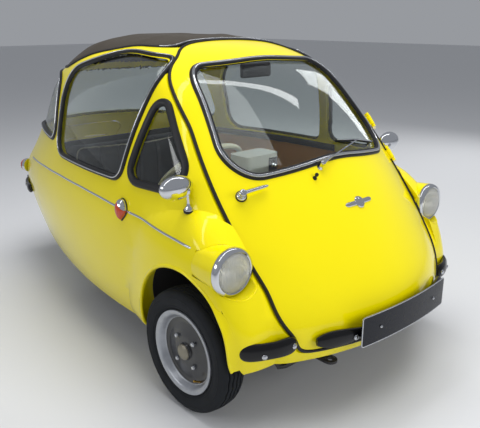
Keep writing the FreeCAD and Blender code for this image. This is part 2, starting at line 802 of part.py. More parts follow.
# Engine, as one plain block behind the seat, and the swing arm that carries the rear wheel
ENGINE_BACK = "(bulkhead_y + bulkhead_thick + engine_length)"
engine = padded("engine_block", [
    ("-engine_width / 2", "0"), ("engine_width / 2", "0"),
    ("engine_width / 2", "engine_length"), ("-engine_width / 2", "engine_length"),
], "engine_tall")
keep("engine_block", stand_at(engine, "0", "bulkhead_y + bulkhead_thick", "floor_height - 20"))

SWING_X = "(-rim_half_width - 22)"
swing_arm = joined("rear_swing_arm", [
    block(
        "swing_arm_bar", 18, "rear_axle_y - " + ENGINE_BACK, 56,
        SWING_X + " - 18", ENGINE_BACK, "axle_height - 28"),
    cylinder("swing_arm_eye", 40, 18, SWING_X + " - 18", "rear_axle_y", "axle_height", V(1, 0, 0)),
    cylinder(
        "rear_stub_axle", "stub_diameter / 2", DISC + " - 2 - " + SWING_X,
        SWING_X, "rear_axle_y", "axle_height", V(1, 0, 0)),
])
keep("rear_swing_arm", swing_arm)

# Exhaust: a short open pipe from the engine's back face out under the tail
PIPE_RUN = V(0.1, 1, 0.12)
pipe_start = ("110", ENGINE_BACK + " - 20", "235")
pipe_bore = cylinder("pipe_bore", "pipe_radius - 2", "pipe_length + 40", *pipe_start, PIPE_RUN)
pipe_end = block("pipe_end", 400, 400, 400, "0", ENGINE_BACK + " - 400", "0")
pipe = cylinder("pipe_outside", "pipe_radius", "pipe_length", *pipe_start, PIPE_RUN)
keep("exhaust_pipe", cut_by("exhaust_pipe", pipe, joined("pipe_cuts", [pipe_bore, pipe_end])))

# Seat: a bench across the cabin, cushion and back, on a low box
SEAT_FRONT = "(bulkhead_y - 170 - seat_depth)"
FLOOR_TOP = "(floor_height + floor_thick)"
SEAT_BASE_TOP = "(seat_top - cushion_thick)"
seat_base = padded("seat_base", [
    ("60 - seat_width / 2", SEAT_FRONT + " + 60"), ("seat_width / 2 - 60", SEAT_FRONT + " + 60"),
    ("seat_width / 2 - 60", "bulkhead_y"), ("60 - seat_width / 2", "bulkhead_y"),
], SEAT_BASE_TOP + " - " + FLOOR_TOP)
keep("seat_base", stand_at(seat_base, "0", "0", FLOOR_TOP))
cushion = padded("seat_cushion", rounded_rectangle(
    "-seat_width / 2", "seat_width / 2", SEAT_FRONT, "bulkhead_y - 130", "seat_round",
), "cushion_thick - 1")
keep("seat_cushion", stand_at(cushion, "0", "0", SEAT_BASE_TOP + " + soft_gap"))
seat_back = padded("seat_back", [
    ("bulkhead_y - 128", "seat_top - 60"), ("bulkhead_y - 0.5", "seat_top - 60"),
    ("bulkhead_y - 0.5", "seat_back_top - 10", "bulkhead_y - 34", "seat_back_top + 6"),
    ("bulkhead_y - 70", "seat_back_top", "bulkhead_y - 108", "seat_back_top - 44"),
    ("bulkhead_y - 128", "seat_back_top - 110"),
], "seat_back_width", "YZ_Plane", True)
keep("seat_back", seat_back)

# Headlamps: a bowl let into the fender, its ring and its domed glass
LAMP = [
    ("-34", "0"),
    ("-30", "34", "-22", "60"),
    ("-12", "lamp_radius - 12"),
    ("-10", "lamp_radius - 4"),
    ("-4", "lamp_radius"),
    ("0", "lamp_radius"),
    ("0", "lamp_radius - 6.5"),
    ("50", "lamp_radius - 12"),
    ("lamp_length - 20", "50"),
    ("lamp_length - 10", "0"),
]
for name, lamp_side in (("left", "lamp_x"), ("right", "-lamp_x")):
    lamp = revolved("headlamp_" + name, LAMP)
    keep("headlamp_" + name, stand_at(lamp, lamp_side, "lamp_y", "lamp_z", Rotation(V(0, 0, 1), 90)))


# Bumpers: rubber blocks bent along the skin, as oval sections along an arc with rounded ends:
# place along the bar and share of the full section
BUMPER_SECTIONS = [(0.0, 0.45), (0.03, 0.8), (0.1, 1.0), (0.5, 1.0), (0.9, 1.0), (0.97, 0.8), (1.0, 0.45)]


def bumper(points, height, depth):
    path = Part.Arc(*points)
    start = path.FirstParameter
    span = path.LastParameter - start
    up = V(0, 0, 1)
    sections = []
    for place, share in BUMPER_SECTIONS:
        at = path.value(start + span * place)
        ahead_of = path.tangent(start + span * place)[0]
        ellipse = Part.Ellipse(V(0, 0, 0), height / 2 * share, depth / 2 * share)
        section = Part.Wire([ellipse.toShape()])
        section.Placement = Placement(at, Rotation(up, ahead_of.cross(up), ahead_of))
        sections.append(section)
    return Part.makeLoft(sections, True, False)


bumper_z = size("bumper_z")
bumper_h = size("bumper_height")
bumper_d = size("bumper_depth")
door_bar_points = []
for x in (-size("door_bar_reach"), 0, size("door_bar_reach")):
    door_bar_points.append(V(x, skin_y(x, bumper_z) - bumper_d / 2 - 2, bumper_z))
door_bumper = solid_node("door_bumper", bumper(door_bar_points, bumper_h, bumper_d))
FENDER_BAR = [(452, -1132, 0), (545, -1108, -4), (628, -1040, -8)]
fender_bar = bumper([V(x, y, bumper_z + drop) for x, y, drop in FENDER_BAR], bumper_h, bumper_d)
fender_bar = largest(fender_bar.cut(side_panel))
solid_node("fender_bumper_left", fender_bar)
solid_node("fender_bumper_right", mirrored(fender_bar))

# Front plate: a blank plate, bent to the door bumper and held off it by two posts
plate_y = skin_y(0, bumper_z) - bumper_d - 2.5
plate = stand_at(padded("plate_sheet", [
    ("-plate_width / 2", "plate_sweep", "0", "0"),
    ("plate_width / 2", "plate_sweep"),
    ("plate_width / 2", "plate_sweep + plate_thick", "0", "plate_thick"),
    ("-plate_width / 2", "plate_sweep + plate_thick"),
], "plate_height"), "0", "%.3f - plate_thick" % plate_y, "bumper_z + plate_rise - plate_height / 2")
plate_pieces = [plate]
for x in (-170, 170):
    post = block(
        "plate_post", 24, 14, 24,
        x - 12, "%.3f + plate_sweep * 0.355" % plate_y, "bumper_z + plate_rise - 12")
    plate_pieces.append(cut_by("plate_post_cut", post, door_bumper))
keep("number_plate_front", joined("number_plate_front", plate_pieces))

# Door handle: a turning lever on a round rose
rose = V(-443, skin_y(-443, 800), 800)
handle = Part.makeCylinder(15, 26, rose + V(0, 4, 0), V(-0.25, -1, 0.35))
handle = handle.fuse(Part.makeCylinder(8, 108, rose + V(-4, -24, 8), V(1, -0.28, 0.16)))
solid_node("door_handle", handle.cut(door))

# Wiper: a spindle under the windscreen, its arm and its blade, which lies along the glass
spindle = V(-98, skin_y(-98, 866), 866)
arm_end = V(62, skin_y(62, 968) - 24, 968)
arm_start = spindle + V(0, -16, 12)
wiper = Part.makeCylinder(9, 34, spindle + V(0, 8, -6), V(0, -0.75, 0.66))
wiper = wiper.fuse(Part.makeCylinder(4, (arm_end - arm_start).Length, arm_start, arm_end - arm_start))
solid_node("windscreen_wiper", wiper.cut(door))

# Mirrors: a round head on a leaning stalk from the fender's crest
foot_at = V(575, -727, 0)
probe = Part.makeLine(V(foot_at.x, foot_at.y, 400), V(foot_at.x, foot_at.y, 1000)).common(side_panel)
foot_at.z = probe.BoundBox.ZMax
head = foot_at + V(62, 22, 92)
stalk = Part.makeCylinder(5, 78, foot_at + V(0, 0, -2), V(0.4, 0.1, 1))
foot = Part.makeCone(16, 9, 16, foot_at + V(0, 0, -4))
bowl = Part.makeSphere(size("mirror_radius")).common(box(-100, 100, -60, 0, -100, 100))
flatten = FreeCAD.Matrix()
flatten.scale(1.0, 0.62, 0.86)
bowl = bowl.transformGeometry(flatten)
bowl.translate(head)
solid_node("mirrors", pair(largest(stalk.fuse([foot, bowl]).cut(side_panel))))


# Side indicators, tail lamps and rear bumpers, which sit on the skin
def skin_x(y, z):
    probe = Part.makeLine(V(0, y, z), V(900, y, z)).common(hull)
    return probe.BoundBox.XMax


indicator_at = V(skin_x(-365, 680), -365, 680)
indicator = Part.makeCone(30, 16, 26, indicator_at + V(-5, 0, 0), V(1, 0, 0)).cut(hull)
solid_node("side_indicators", pair(largest(indicator)))
tail_lamp_at = V(330, skin_y(330, 560, True), 560)
tail_lamp = Part.makeCone(40, 28, 44, tail_lamp_at + V(0, -12, 0), V(0.35, 1, 0)).cut(hull)
solid_node("tail_lamps", pair(largest(tail_lamp)))
rear_bar = bumper([V(x, skin_y(x, 470, True) + 18, 470) for x in (250, 340, 420)], 50, 30)
solid_node("rear_bumpers", pair(largest(rear_bar.cut(hull))))

# Steering: a column from the floor with the instrument pod on it, and the wheel on its shaft
wheel_center = V(-300, -450, 780)
column_axis = V(0, 0.721, 0.693)
column_axis.normalize()
column_turn = Rotation(V(0, 0, 1), column_axis)


def on_column(distance):
    """The point at a distance along the column's axis from the wheel's centre."""
    return [str(round(place, 6)) for place in wheel_center + column_axis * distance]


column_foot = on_column(-40 - size("column_length"))
column = cylinder("column_tube", "column_radius", "column_length", *column_foot, column_axis)
pod = padded("instrument_pod", rounded_rectangle("0", "pod_width", "0", "pod_deep", "pod_round"), "pod_tall")
stand_at(pod, "-pod_left", "-pod_front", "pod_bottom")
pod_post = block("pod_post", 32, 60, "pod_bottom - 558", "-310", "-720", "560")
below_floor = block("below_floor", 800, 1600, 400, "-700", "-1800", FLOOR_TOP + " - 400")
shaft_hole = cylinder("shaft_hole", "shaft_radius + 0.3", 70, *on_column(-100), column_axis)
column = cut_by(
    "steering_column",
    joined("column_and_pod", [column, pod, pod_post]), joined("column_cuts", [below_floor, shaft_hole]))
keep("steering_column", column)

steer_rim = doc.addObject("Part::Torus", "wheel_rim")
steer_rim.setExpression("Radius1", bound("wheel_rim_radius"))
steer_rim.setExpression("Radius2", bound("wheel_rim_tube / 2"))
wheel_pieces = [
    steer_rim,
    cylinder("wheel_hub", 30, 36, "0", "0", "-34"),
    cylinder("wheel_shaft", "shaft_radius", 60, "0", "0", "-92"),
]
for spoke in range(3):
    angle = spoke * 2 * math.pi / 3
    spoke_run = V(math.cos(angle), math.sin(angle), 14 / size("wheel_rim_radius"))
    wheel_pieces.append(cylinder("wheel_spoke", 7, "wheel_rim_radius", "0", "0", "-14", spoke_run))
steering_wheel = keep("steering_wheel", joined("steering_wheel", wheel_pieces))
steering_wheel.Placement = Placement(wheel_center, column_turn)

doc.recompute()
for feature in doc.Objects:
    for state in ("Invalid", "Error"):
        if state in feature.State:
            raise RuntimeError("%s is %s" % (feature.Label, state))
os.makedirs("parts", exist_ok=True)
for feature in parts:
    if feature.Shape.isNull() or not feature.Shape.isValid():
        raise RuntimeError("%s has no valid shape" % feature.Label)
    feature.Shape.exportStep(os.path.join("parts", feature.Label + ".step"))
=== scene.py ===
import math
import random
import bmesh
import bpy
from mathutils import Matrix, Vector
from mathutils.bvhtree import BVHTree


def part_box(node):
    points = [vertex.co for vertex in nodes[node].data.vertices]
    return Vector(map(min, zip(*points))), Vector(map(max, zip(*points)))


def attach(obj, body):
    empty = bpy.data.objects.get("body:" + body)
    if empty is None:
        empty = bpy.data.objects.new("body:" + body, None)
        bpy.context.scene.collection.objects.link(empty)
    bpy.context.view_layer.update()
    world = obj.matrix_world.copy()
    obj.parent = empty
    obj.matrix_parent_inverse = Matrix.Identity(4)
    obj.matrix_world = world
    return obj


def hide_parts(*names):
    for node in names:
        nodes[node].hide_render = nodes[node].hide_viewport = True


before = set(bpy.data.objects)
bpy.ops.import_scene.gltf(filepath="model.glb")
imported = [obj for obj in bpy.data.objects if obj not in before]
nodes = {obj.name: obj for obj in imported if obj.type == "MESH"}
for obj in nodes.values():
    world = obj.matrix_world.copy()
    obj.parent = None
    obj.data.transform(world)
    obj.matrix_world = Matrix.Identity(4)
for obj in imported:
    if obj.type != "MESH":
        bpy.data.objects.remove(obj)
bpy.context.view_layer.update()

# The camera stands in front of the car's right headlamp, a little above the roof, and looks down
# at the door, as in the photograph.
CAMERA_AT = (-1.8715, -2.3890, 1.3965)
CAMERA_YAW = 0.74687
CAMERA_PITCH = -0.30483
LENS_PIXELS = 624.19
FRAME_WIDTH = 480
SENSOR_MM = 36

bpy.ops.object.select_all(action="DESELECT")
bpy.ops.object.camera_add(location=CAMERA_AT, rotation=(math.pi / 2 + CAMERA_PITCH, 0, -CAMERA_YAW))
camera = bpy.context.active_object
camera.name = "photo_camera"
camera.data.lens = LENS_PIXELS / FRAME_WIDTH * SENSOR_MM
camera.data.clip_end = 60
bpy.context.scene.camera = camera


# A pale studio: a floor far larger than the car, a big soft light overhead and tall soft lights
# at the sides, which draw the long highlights on the enamel.
def linear(hex_color):
    """An sRGB colour such as f0e000 as linear red, green, blue and alpha."""
    shares = [int(hex_color[i:i + 2], 16) / 255 for i in (0, 2, 4)]
    return tuple(c / 12.92 if c <= 0.04045 else ((c + 0.055) / 1.055) ** 2.4 for c in shares) + (1.0,)


def add_node(tree, kind, settings=None, **inputs):
    """A node with its settings; each input, named by its socket, is a value or an output."""
    node = tree.nodes.new(kind)
    for name, value in (settings or {}).items():
        setattr(node, name, value)
    for name, value in inputs.items():
        if name[0] == "n" and name[1:].isdigit():
            socket = node.inputs[int(name[1:])]
        else:
            socket = node.inputs[name.replace("_", " ")]
        if isinstance(value, bpy.types.NodeSocket):
            tree.links.new(value, socket)
        else:
            socket.default_value = value
    return node


def new_material(name, **inputs):
    """A material whose Principled shader has the inputs given."""
    material = bpy.data.materials.new(name)
    material.use_nodes = True
    tree = material.node_tree
    tree.nodes.clear()
    shader = add_node(tree, "ShaderNodeBsdfPrincipled", **inputs)
    output = add_node(tree, "ShaderNodeOutputMaterial")
    tree.links.new(shader.outputs[0], output.inputs["Surface"])
    material.diffuse_color = shader.inputs["Base Color"].default_value
    return material, tree, shader


bpy.ops.mesh.primitive_plane_add(size=60, location=(0, 0, 0))
floor = bpy.context.active_object
floor.name = "studio_floor"
# Pale matt floor paint, rolled on, with a trace of roller stipple
floor_paint, tree, shader = new_material(
    "rolled_floor_paint", Base_Color=linear("d3d4d6"), Roughness=0.55)
stipple = add_node(tree, "ShaderNodeTexNoise", Scale=90.0)
bump = add_node(tree, "ShaderNodeBump", Strength=0.04, Distance=0.001, Height=stipple.outputs["Fac"])
tree.links.new(bump.outputs[0], shader.inputs["Normal"])
floor.data.materials.append(floor_paint)

world = bpy.data.worlds.new("studio_air")
bpy.context.scene.world = world
world.use_nodes = True
air = world.node_tree.nodes["Background"]
air.inputs["Color"].default_value = linear("dfe3ea")
air.inputs["Strength"].default_value = 0.42

LIGHTS = [
    # name, place, aimed at, width, height, power
    ("overhead", (0.0, -0.4, 4.4), (0.0, -0.2, 0.0), 2.6, 5.0, 150),
    ("left_strip", (1.55, -0.6, 4.3), (0.6, -0.2, 0.0), 0.35, 3.4, 16),
    ("right_strip", (-1.75, -0.4, 4.3), (-0.6, -0.2, 0.0), 0.35, 3.4, 16),
    ("right_side", (-4.6, 0.6, 2.6), (0.0, 0.0, 0.6), 3.2, 1.0, 36),
    ("front", (0.4, -5.4, 2.4), (0.0, -0.6, 0.5), 3.0, 2.0, 95),
    ("left_side", (4.8, 0.6, 2.6), (0.0, 0.2, 0.6), 1.2, 2.6, 50),
]
SEEN_IN_THE_GLOSS = ("left_strip", "right_strip", "right_side")
for name, place, target, width, height, power in LIGHTS:
    bpy.ops.object.light_add(type="AREA", location=place)
    lamp = bpy.context.active_object
    lamp.name = "studio_" + name
    lamp.rotation_euler = (Vector(target) - Vector(place)).to_track_quat("-Z", "Y").to_euler()
    lamp.data.shape = "RECTANGLE"
    lamp.data.size = width
    lamp.data.size_y = height
    lamp.data.energy = power
    lamp.visible_glossy = name in SEEN_IN_THE_GLOSS

bpy.context.scene.view_settings.view_transform = "Standard"


# Body panels: pressed steel sheets with rolled edges, sprayed with a lemon yellow enamel and
# polished, so that they shine under a clear top layer.
def finish_node(name, material, angle=32):
    """Gives a construction piece its finish and even shading between its sharp edges."""
    node = nodes[name]
    node.data.materials.clear()
    node.data.materials.append(material)
    weld = node.modifiers.new("weld", "WELD")
    weld.merge_threshold = 0.00002
    split = node.modifiers.new("split", "EDGE_SPLIT")
    split.split_angle = math.radians(angle)
    for polygon in node.data.polygons:
        polygon.use_smooth = True
    return node


def grain(tree, shader, scale, strength, distance, detail=2.0):
    """A fine bump; scale is the number of grains in a metre."""
    place = add_node(tree, "ShaderNodeTexCoord")
    noise = add_node(
        tree, "ShaderNodeTexNoise", Scale=scale, Detail=detail, Vector=place.outputs["Object"])
    bump = add_node(
        tree, "ShaderNodeBump", Strength=strength, Distance=distance, Height=noise.outputs["Fac"])
    tree.links.new(bump.outputs[0], shader.inputs["Normal"])
    return place, noise


def mottle(tree, place, socket, scale, low, high):
    """Lets a value or colour of the shader drift softly between two ends over the surface."""
    noise = add_node(
        tree, "ShaderNodeTexNoise", Scale=scale, Detail=3.0, Vector=place.outputs["Object"])
    if isinstance(low, tuple):
        blend = add_node(
            tree, "ShaderNodeMix", {"data_type": "RGBA"}, n0=noise.outputs["Fac"], n6=low, n7=high)
        tree.links.new(blend.outputs[2], socket)
    else:
        spread = add_node(tree, "ShaderNodeMapRange", Value=noise.outputs["Fac"], To_Min=low, To_Max=high)
        tree.links.new(spread.outputs[0], socket)


# Gloss enamel over steel: an even lemon yellow, a touch warmer in places, with the faint orange
# peel of sprayed paint, 4 mm across, under a clear polished coat
enamel, tree, shader = new_material(
    "sprayed_lemon_enamel", Base_Color=linear("f0de00"), Roughness=0.35, Specular_IOR_Level=0.1,
    Coat_Weight=0.75, Coat_Roughness=0.02, Coat_IOR=1.45)
place, noise = grain(tree, shader, 250.0, 0.03, 0.0004)
mottle(tree, place, shader.inputs["Base Color"], 2.5, linear("eddb00"), linear("f4e400"))
mottle(tree, place, shader.inputs["Roughness"], 6.0, 0.26, 0.36)
for name in ("side_panel_left", "side_panel_right", "tail_panel", "engine_lid", "door_panel", "hinge_pins"):
    finish_node(name, enamel)


# Windows: curved safety glass in the door and sheet acrylic at the sides and back, 5 mm thick,
# each held in a black rubber profile.
window_glass, tree, shader = new_material(
    "clear_window_glass", Base_Color=linear("eef4f2"), Roughness=0.0, IOR=1.45, Transmission_Weight=1.0)
PANES = [
    "windscreen", "side_window_left", "side_window_right", "quarter_window_left",
    "quarter_window_right", "rear_window",
]
for name in PANES:
    finish_node(name, window_glass, 40)


def surface_of(*names):
    """The named pieces as one tree that rays can meet."""
    points = []
    faces = []
    for name in names:
        mesh = nodes[name].data
        start = len(points)
        points += [vertex.co.copy() for vertex in mesh.vertices]
        faces += [[start + index for index in polygon.vertices] for polygon in mesh.polygons]
    return BVHTree.FromPolygons(points, faces)


FAR = 3.0


def from_side(sign):
    return lambda y, z: (Vector((sign * FAR, y, z)), Vector((-sign, 0, 0)))


def from_front(x, z):
    return Vector((x, -FAR, z)), Vector((0, 1, 0))


def from_above(x, y):
    return Vector((x, y, FAR)), Vector((0, 0, -1))


def from_back(x, z):
    return Vector((x, FAR, z)), Vector((0, -1, 0))


def skin_rims(name, ray, fold=12):
    """The rims of the skin that a ray meets, longest first. Each is a line of points and normals
    that keeps the skin on its left; the skin ends where it folds by more than an angle."""
    mesh = bmesh.new()
    mesh.from_mesh(nodes[name].data)
    bmesh.ops.remove_doubles(mesh, verts=mesh.verts, dist=0.00005)
    bmesh.ops.dissolve_degenerate(mesh, edges=mesh.edges, dist=0.00005)
    mesh.normal_update()
    mesh.faces.ensure_lookup_table()
    first = mesh.faces[BVHTree.FromBMesh(mesh).ray_cast(*ray)[2]]
    skin = {first}
    front = [first]
    while front:
        face = front.pop()
        for edge in face.edges:
            for other in edge.link_faces:
                if other not in skin and face.normal.dot(other.normal) > math.cos(math.radians(fold)):
                    skin.add(other)
                    front.append(other)
    onward = {}
    for face in skin:
        for corner in face.loops:
            if sum(other in skin for other in corner.edge.link_faces) == 1:
                onward.setdefault(corner.vert, []).append(corner.link_loop_next.vert)
    rims = []
    while onward:
        vertex = next(iter(onward))
        rim = []
        while vertex in onward:
            normal = sum((f.normal * f.calc_area() for f in vertex.link_faces if f in skin), Vector())
            rim.append((vertex.co.copy(), normal.normalized()))
            after = onward[vertex].pop()
            if not onward[vertex]:
                del onward[vertex]
            vertex = after
        rims.append(rim)
    mesh.free()
    return sorted(rims, key=lambda rim: -sum((b[0] - a[0]).length for a, b in zip(rim, rim[1:])))


def even(rim, spacing, closed=True, rounds=3):
    """The same line with evenly spaced points, smoothed a little."""
    points = [entry[0] for entry in rim]
    normals = [entry[1] for entry in rim]
    if closed:
        points.append(points[0])
        normals.append(normals[0])
    lengths = [0.0]
    for first, second in zip(points, points[1:]):
        lengths.append(lengths[-1] + (second - first).length)
    count = max(4, round(lengths[-1] / spacing))
    spaced = []
    index = 0
    for step in range(count if closed else count + 1):
        at = lengths[-1] * step / count
        while index < len(lengths) - 2 and lengths[index + 1] < at:
            index += 1
        span = lengths[index + 1] - lengths[index] or 1.0
        share = (at - lengths[index]) / span
        spaced.append((
            points[index].lerp(points[index + 1], share),
            normals[index].lerp(normals[index + 1], share).normalized(),
        ))
    for smoothing in range(rounds):
        fresh = []
        for step, (point, normal) in enumerate(spaced):
            if not closed and step in (0, len(spaced) - 1):
                fresh.append((point, normal))
                continue
            before = spaced[step - 1]
            after = spaced[(step + 1) % len(spaced)]
            fresh.append((
                point * 0.5 + (before[0] + after[0]) * 0.25,
                (normal * 0.5 + (before[1] + after[1]) * 0.25).normalized(),
            ))
        spaced = fresh
    return spaced


def new_mesh_object(name, points, faces, material, edges=()):
    mesh = bpy.data.meshes.new(name)
    mesh.from_pydata(points, edges, faces)
    mesh.materials.append(material)
    piece = bpy.data.objects.new(name, mesh)
    bpy.context.scene.collection.objects.link(piece)
    for polygon in mesh.polygons:
        polygon.use_smooth = True
    return piece


def outwards(piece, angle=40):
    """Turns every face of a closed piece outwards and keeps its sharp edges sharp."""
    bpy.ops.object.select_all(action="DESELECT")
    piece.select_set(True)
    bpy.context.view_layer.objects.active = piece
    bpy.ops.object.mode_set(mode="EDIT")
    bpy.ops.mesh.select_all(action="SELECT")
    bpy.ops.mesh.remove_doubles(threshold=0.000001)
    bpy.ops.mesh.normals_make_consistent(inside=False)
    bpy.ops.object.mode_set(mode="OBJECT")
    bpy.ops.object.shade_smooth_by_angle(angle=math.radians(angle))
    return piece


def skinned(name, rings, material, closed=True):
    """A surface through rings of as many points each; an open one is closed at its ends."""
    width = len(rings[0])
    points = [point for ring in rings for point in ring]
    faces = []
    for step in range(len(rings) if closed else len(rings) - 1):
        here = step * width
        there = (step + 1) % len(rings) * width
        for index in range(width):
            after = (index + 1) % width
            faces.append((here + index, here + after, there + after, there + index))
    if not closed:
        faces.append(tuple(range(width)))
        faces.append(tuple((len(rings) - 1) * width + index for index in reversed(range(width))))
    return outwards(new_mesh_object(name, points, faces, material))


def strip(name, rim, profile, material, closed=True, shift=0.0, taper=0.0):
    """A profile drawn along a line on the skin: profile holds places across and out of it. An
    open strip can taper to round ends."""
    rings = []
    count = len(rim)
    long = sum((rim[step + 1][0] - rim[step][0]).length for step in range(count - 1))
    for step, (point, normal) in enumerate(rim):
        before = rim[step - 1][0] if closed or step else point
        after = rim[(step + 1) % count][0] if closed or step < count - 1 else point
        along = (after - before).normalized()
        across = along.cross(normal).normalized()
        out = across.cross(along).normalized()
        share = 1.0
        if taper:
            near = min(step, count - 1 - step) * long / (count - 1)
            share = max(0.12, math.sqrt(1 - (1 - min(1.0, near / taper)) ** 2))
        rings.append([point + across * (u * share + shift) + out * (v * share) for u, v in profile])
    return skinned(name, rings, material, closed)


def half_round(width, height, sink, steps=6):
    """A domed profile that stands on the skin and is sunk a little into it."""
    dome = [
        (-width / 2 * math.cos(math.pi * step / steps), height * math.sin(math.pi * step / steps))
        for step in range(steps + 1)
    ]
    return [(-width / 2, -sink)] + dome + [(width / 2, -sink)]


def raised(profile, lift):
    return [(u, v + lift) for u, v in profile]


# Extruded rubber, black and slightly shiny, with a soft bloom where it has aged
seal_rubber, tree, shader = new_material(
    "extruded_black_rubber", Base_Color=linear("17171a"), Roughness=0.42, Specular_IOR_Level=0.45)
place, noise = grain(tree, shader, 700.0, 0.12, 0.0004)
mottle(tree, place, shader.inputs["Roughness"], 9.0, 0.34, 0.55)

# Chromed strip and castings: bright, a little blue, with hairline polishing marks
chrome, tree, shader = new_material(
    "polished_chrome_plate", Base_Color=linear("d9dbdf"), Metallic=1.0, Roughness=0.09)
place, noise = grain(tree, shader, 400.0, 0.02, 0.0003)
mottle(tree, place, shader.inputs["Roughness"], 14.0, 0.05, 0.16)

PANE_SINK = 0.008
SEAL_HIGH = 0.0095
PANE_SEALS = [
    # pane, body, a ray that meets it, seal's width, chrome insert's width
    ("windscreen", "door", from_front(0.0, 1.03), 0.030, 0.011),
    ("side_window_left", "tub", from_side(1)(-0.05, 1.0), 0.024, 0.005),
    ("side_window_right", "tub", from_side(-1)(-0.05, 1.0), 0.024, 0.005),
    ("quarter_window_left", "tub", from_side(1)(-0.50, 0.90), 0.030, 0.0),
    ("quarter_window_right", "tub", from_side(-1)(-0.50, 0.90), 0.030, 0.0),
    ("rear_window", "tub", from_back(0.0, 0.99), 0.026, 0.006),
]
for name, body, ray, width, insert in PANE_SEALS:
    rim = even(skin_rims(name, ray)[0], 0.011)
    rim = [(point + normal * PANE_SINK, normal) for point, normal in rim]
    seal = strip(name + "_seal", rim, half_round(width, SEAL_HIGH, PANE_SINK - 0.0012, 8), seal_rubber)
    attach(seal, body)
    if insert:
        profile = raised(half_round(insert, 0.0028, 0.002), SEAL_HIGH - 0.0005)
        bright = strip(name + "_bright_insert", rim, profile, chrome)
        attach(bright, body)

# Door seam: a round black rubber bead that fills the gap all round the door, glued to the door.
SEAM_BEAD = 0.0065
seam = even(skin_rims("door_panel", from_front(0.0, 0.6))[0], 0.014)
circle = [
    (SEAM_BEAD * math.cos(math.pi * step / 5), SEAM_BEAD * math.sin(math.pi * step / 5)) for step in range(10)
]
bead = strip("door_seam_bead", seam, circle, seal_rubber)
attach(bead, "door")

def dress(piece, body):
    """The piece moves with a body."""
    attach(piece, body)
    return piece


def spun(name, profile, place, axis, material, turns=40, angle=40):
    """A profile of places along an axis and radii, spun about that axis through a place."""
    place = Vector(place)
    axis = Vector(axis).normalized()
    side = axis.orthogonal().normalized()
    points = [place + axis * along + side * radius for along, radius in profile]
    edges = [(index, index + 1) for index in range(len(points) - 1)]
    piece = new_mesh_object(name, points, [], material, edges)
    bpy.ops.object.select_all(action="DESELECT")
    piece.select_set(True)
    bpy.context.view_layer.objects.active = piece
    bpy.ops.object.mode_set(mode="EDIT")
    bpy.ops.mesh.select_all(action="SELECT")
    bpy.ops.mesh.spin(steps=turns, angle=2 * math.pi, center=place, axis=axis)
    bpy.ops.object.mode_set(mode="OBJECT")
    return outwards(piece, angle)


def squeezed(piece, middle, shares):
    """Makes a piece flatter or longer about its middle."""
    bpy.ops.object.select_all(action="DESELECT")
    piece.select_set(True)
    bpy.context.view_layer.objects.active = piece
    bpy.ops.object.mode_set(mode="EDIT")
    bpy.ops.mesh.select_all(action="SELECT")
    bpy.ops.transform.resize(value=shares, center_override=Vector(middle))
    bpy.ops.object.mode_set(mode="OBJECT")
    return piece


def joined(pieces, name):
    bpy.ops.object.select_all(action="DESELECT")
    for piece in pieces:
        piece.select_set(True)
    bpy.context.view_layer.objects.active = pieces[0]
    bpy.ops.object.join()
    pieces[0].name = name
    return pieces[0]


def drawn_on(tree, ray, stations, spacing, closed=False):
    """A line through stations of the side, front or top view, laid on the skin."""
    ends = stations[1:] + stations[:1] if closed else stations[1:]
    fine = []
    for first, second in zip(stations, ends):
        steps = max(1, round(math.dist(first, second) / spacing))
        for step in range(steps):
            fine.append([a + (b - a) * step / steps for a, b in zip(first, second)])
    if not closed:
        fine.append(stations[-1])
    hits = [tree.ray_cast(*ray(*place)) for place in fine]
    return even([hit[:2] for hit in hits if hit[0]], spacing, closed)


# Arch lips: the edge of each front fender is rolled outwards into a soft round lip, which stiffens
# the thin sheet round the wheel opening; it is one with the fender and has its enamel.
ARCH_MIDDLE = (-0.770, 0.318)
ARCH_RADIUS = 0.247
LIP_SECTION = [(0.0, -0.005), (0.0, 0.0010), (0.0015, 0.0036), (0.004, 0.0050), (0.007, 0.0046), (0.010, 0.0028)]
arch_line = [(ARCH_MIDDLE[0] + ARCH_RADIUS, 0.215 + 0.01 * step, 0.0) for step in range(10)]
arch_line += [
    (ARCH_MIDDLE[0] + ARCH_RADIUS * math.cos(angle), ARCH_MIDDLE[1] + ARCH_RADIUS * math.sin(angle), angle)
    for angle in (math.pi * step / 60 for step in range(61))
]
arch_line += [(ARCH_MIDDLE[0] - ARCH_RADIUS, 0.308 - 0.01 * step, math.pi) for step in range(6)]
for side, sign in (("left", 1), ("right", -1)):
    fender = surface_of("side_panel_" + side)
    line = []
    for y, z, angle in arch_line:
        met = None
        for reach in range(34 if z < 0.36 else 29, -1, -1):
            place = (y + reach * 0.001 * math.cos(angle), z + reach * 0.001 * math.sin(angle))
            point, normal, index, distance = fender.ray_cast(*from_side(sign)(*place))
            if point is None or point.x * sign < 0.5 or normal.x * sign < 0.2:
                break
            met = (point, normal)
        if met:
            point, normal = met
            x = point.x + (normal.y * (point.y - y) + normal.z * (point.z - z)) / normal.x
            line.append((Vector((x, y, z)), point, normal))
    for round_off in range(4):
        line = [line[0]] + [
            tuple((before[part] + here[part] * 2 + after[part]) / 4 for part in range(3))
            for before, here, after in zip(line, line[1:], line[2:])
        ] + [line[-1]]
    rings = []
    for lip, point, normal in line:
        away = point - lip
        middle_way = Vector((0, lip.y - ARCH_MIDDLE[0], max(0.0, lip.z - ARCH_MIDDLE[1])))
        across = (middle_way - normal * middle_way.dot(normal)).normalized()
        wide = max(0.013, away.dot(across) + 0.004)
        section = LIP_SECTION + [(0.013, 0.0008), (wide, 0.0004), (wide, -0.003)]
        rings.append([lip + across * u + normal.normalized() * v for u, v in section])
    dress(skinned("arch_lip_" + side, rings, enamel, False), "tub")

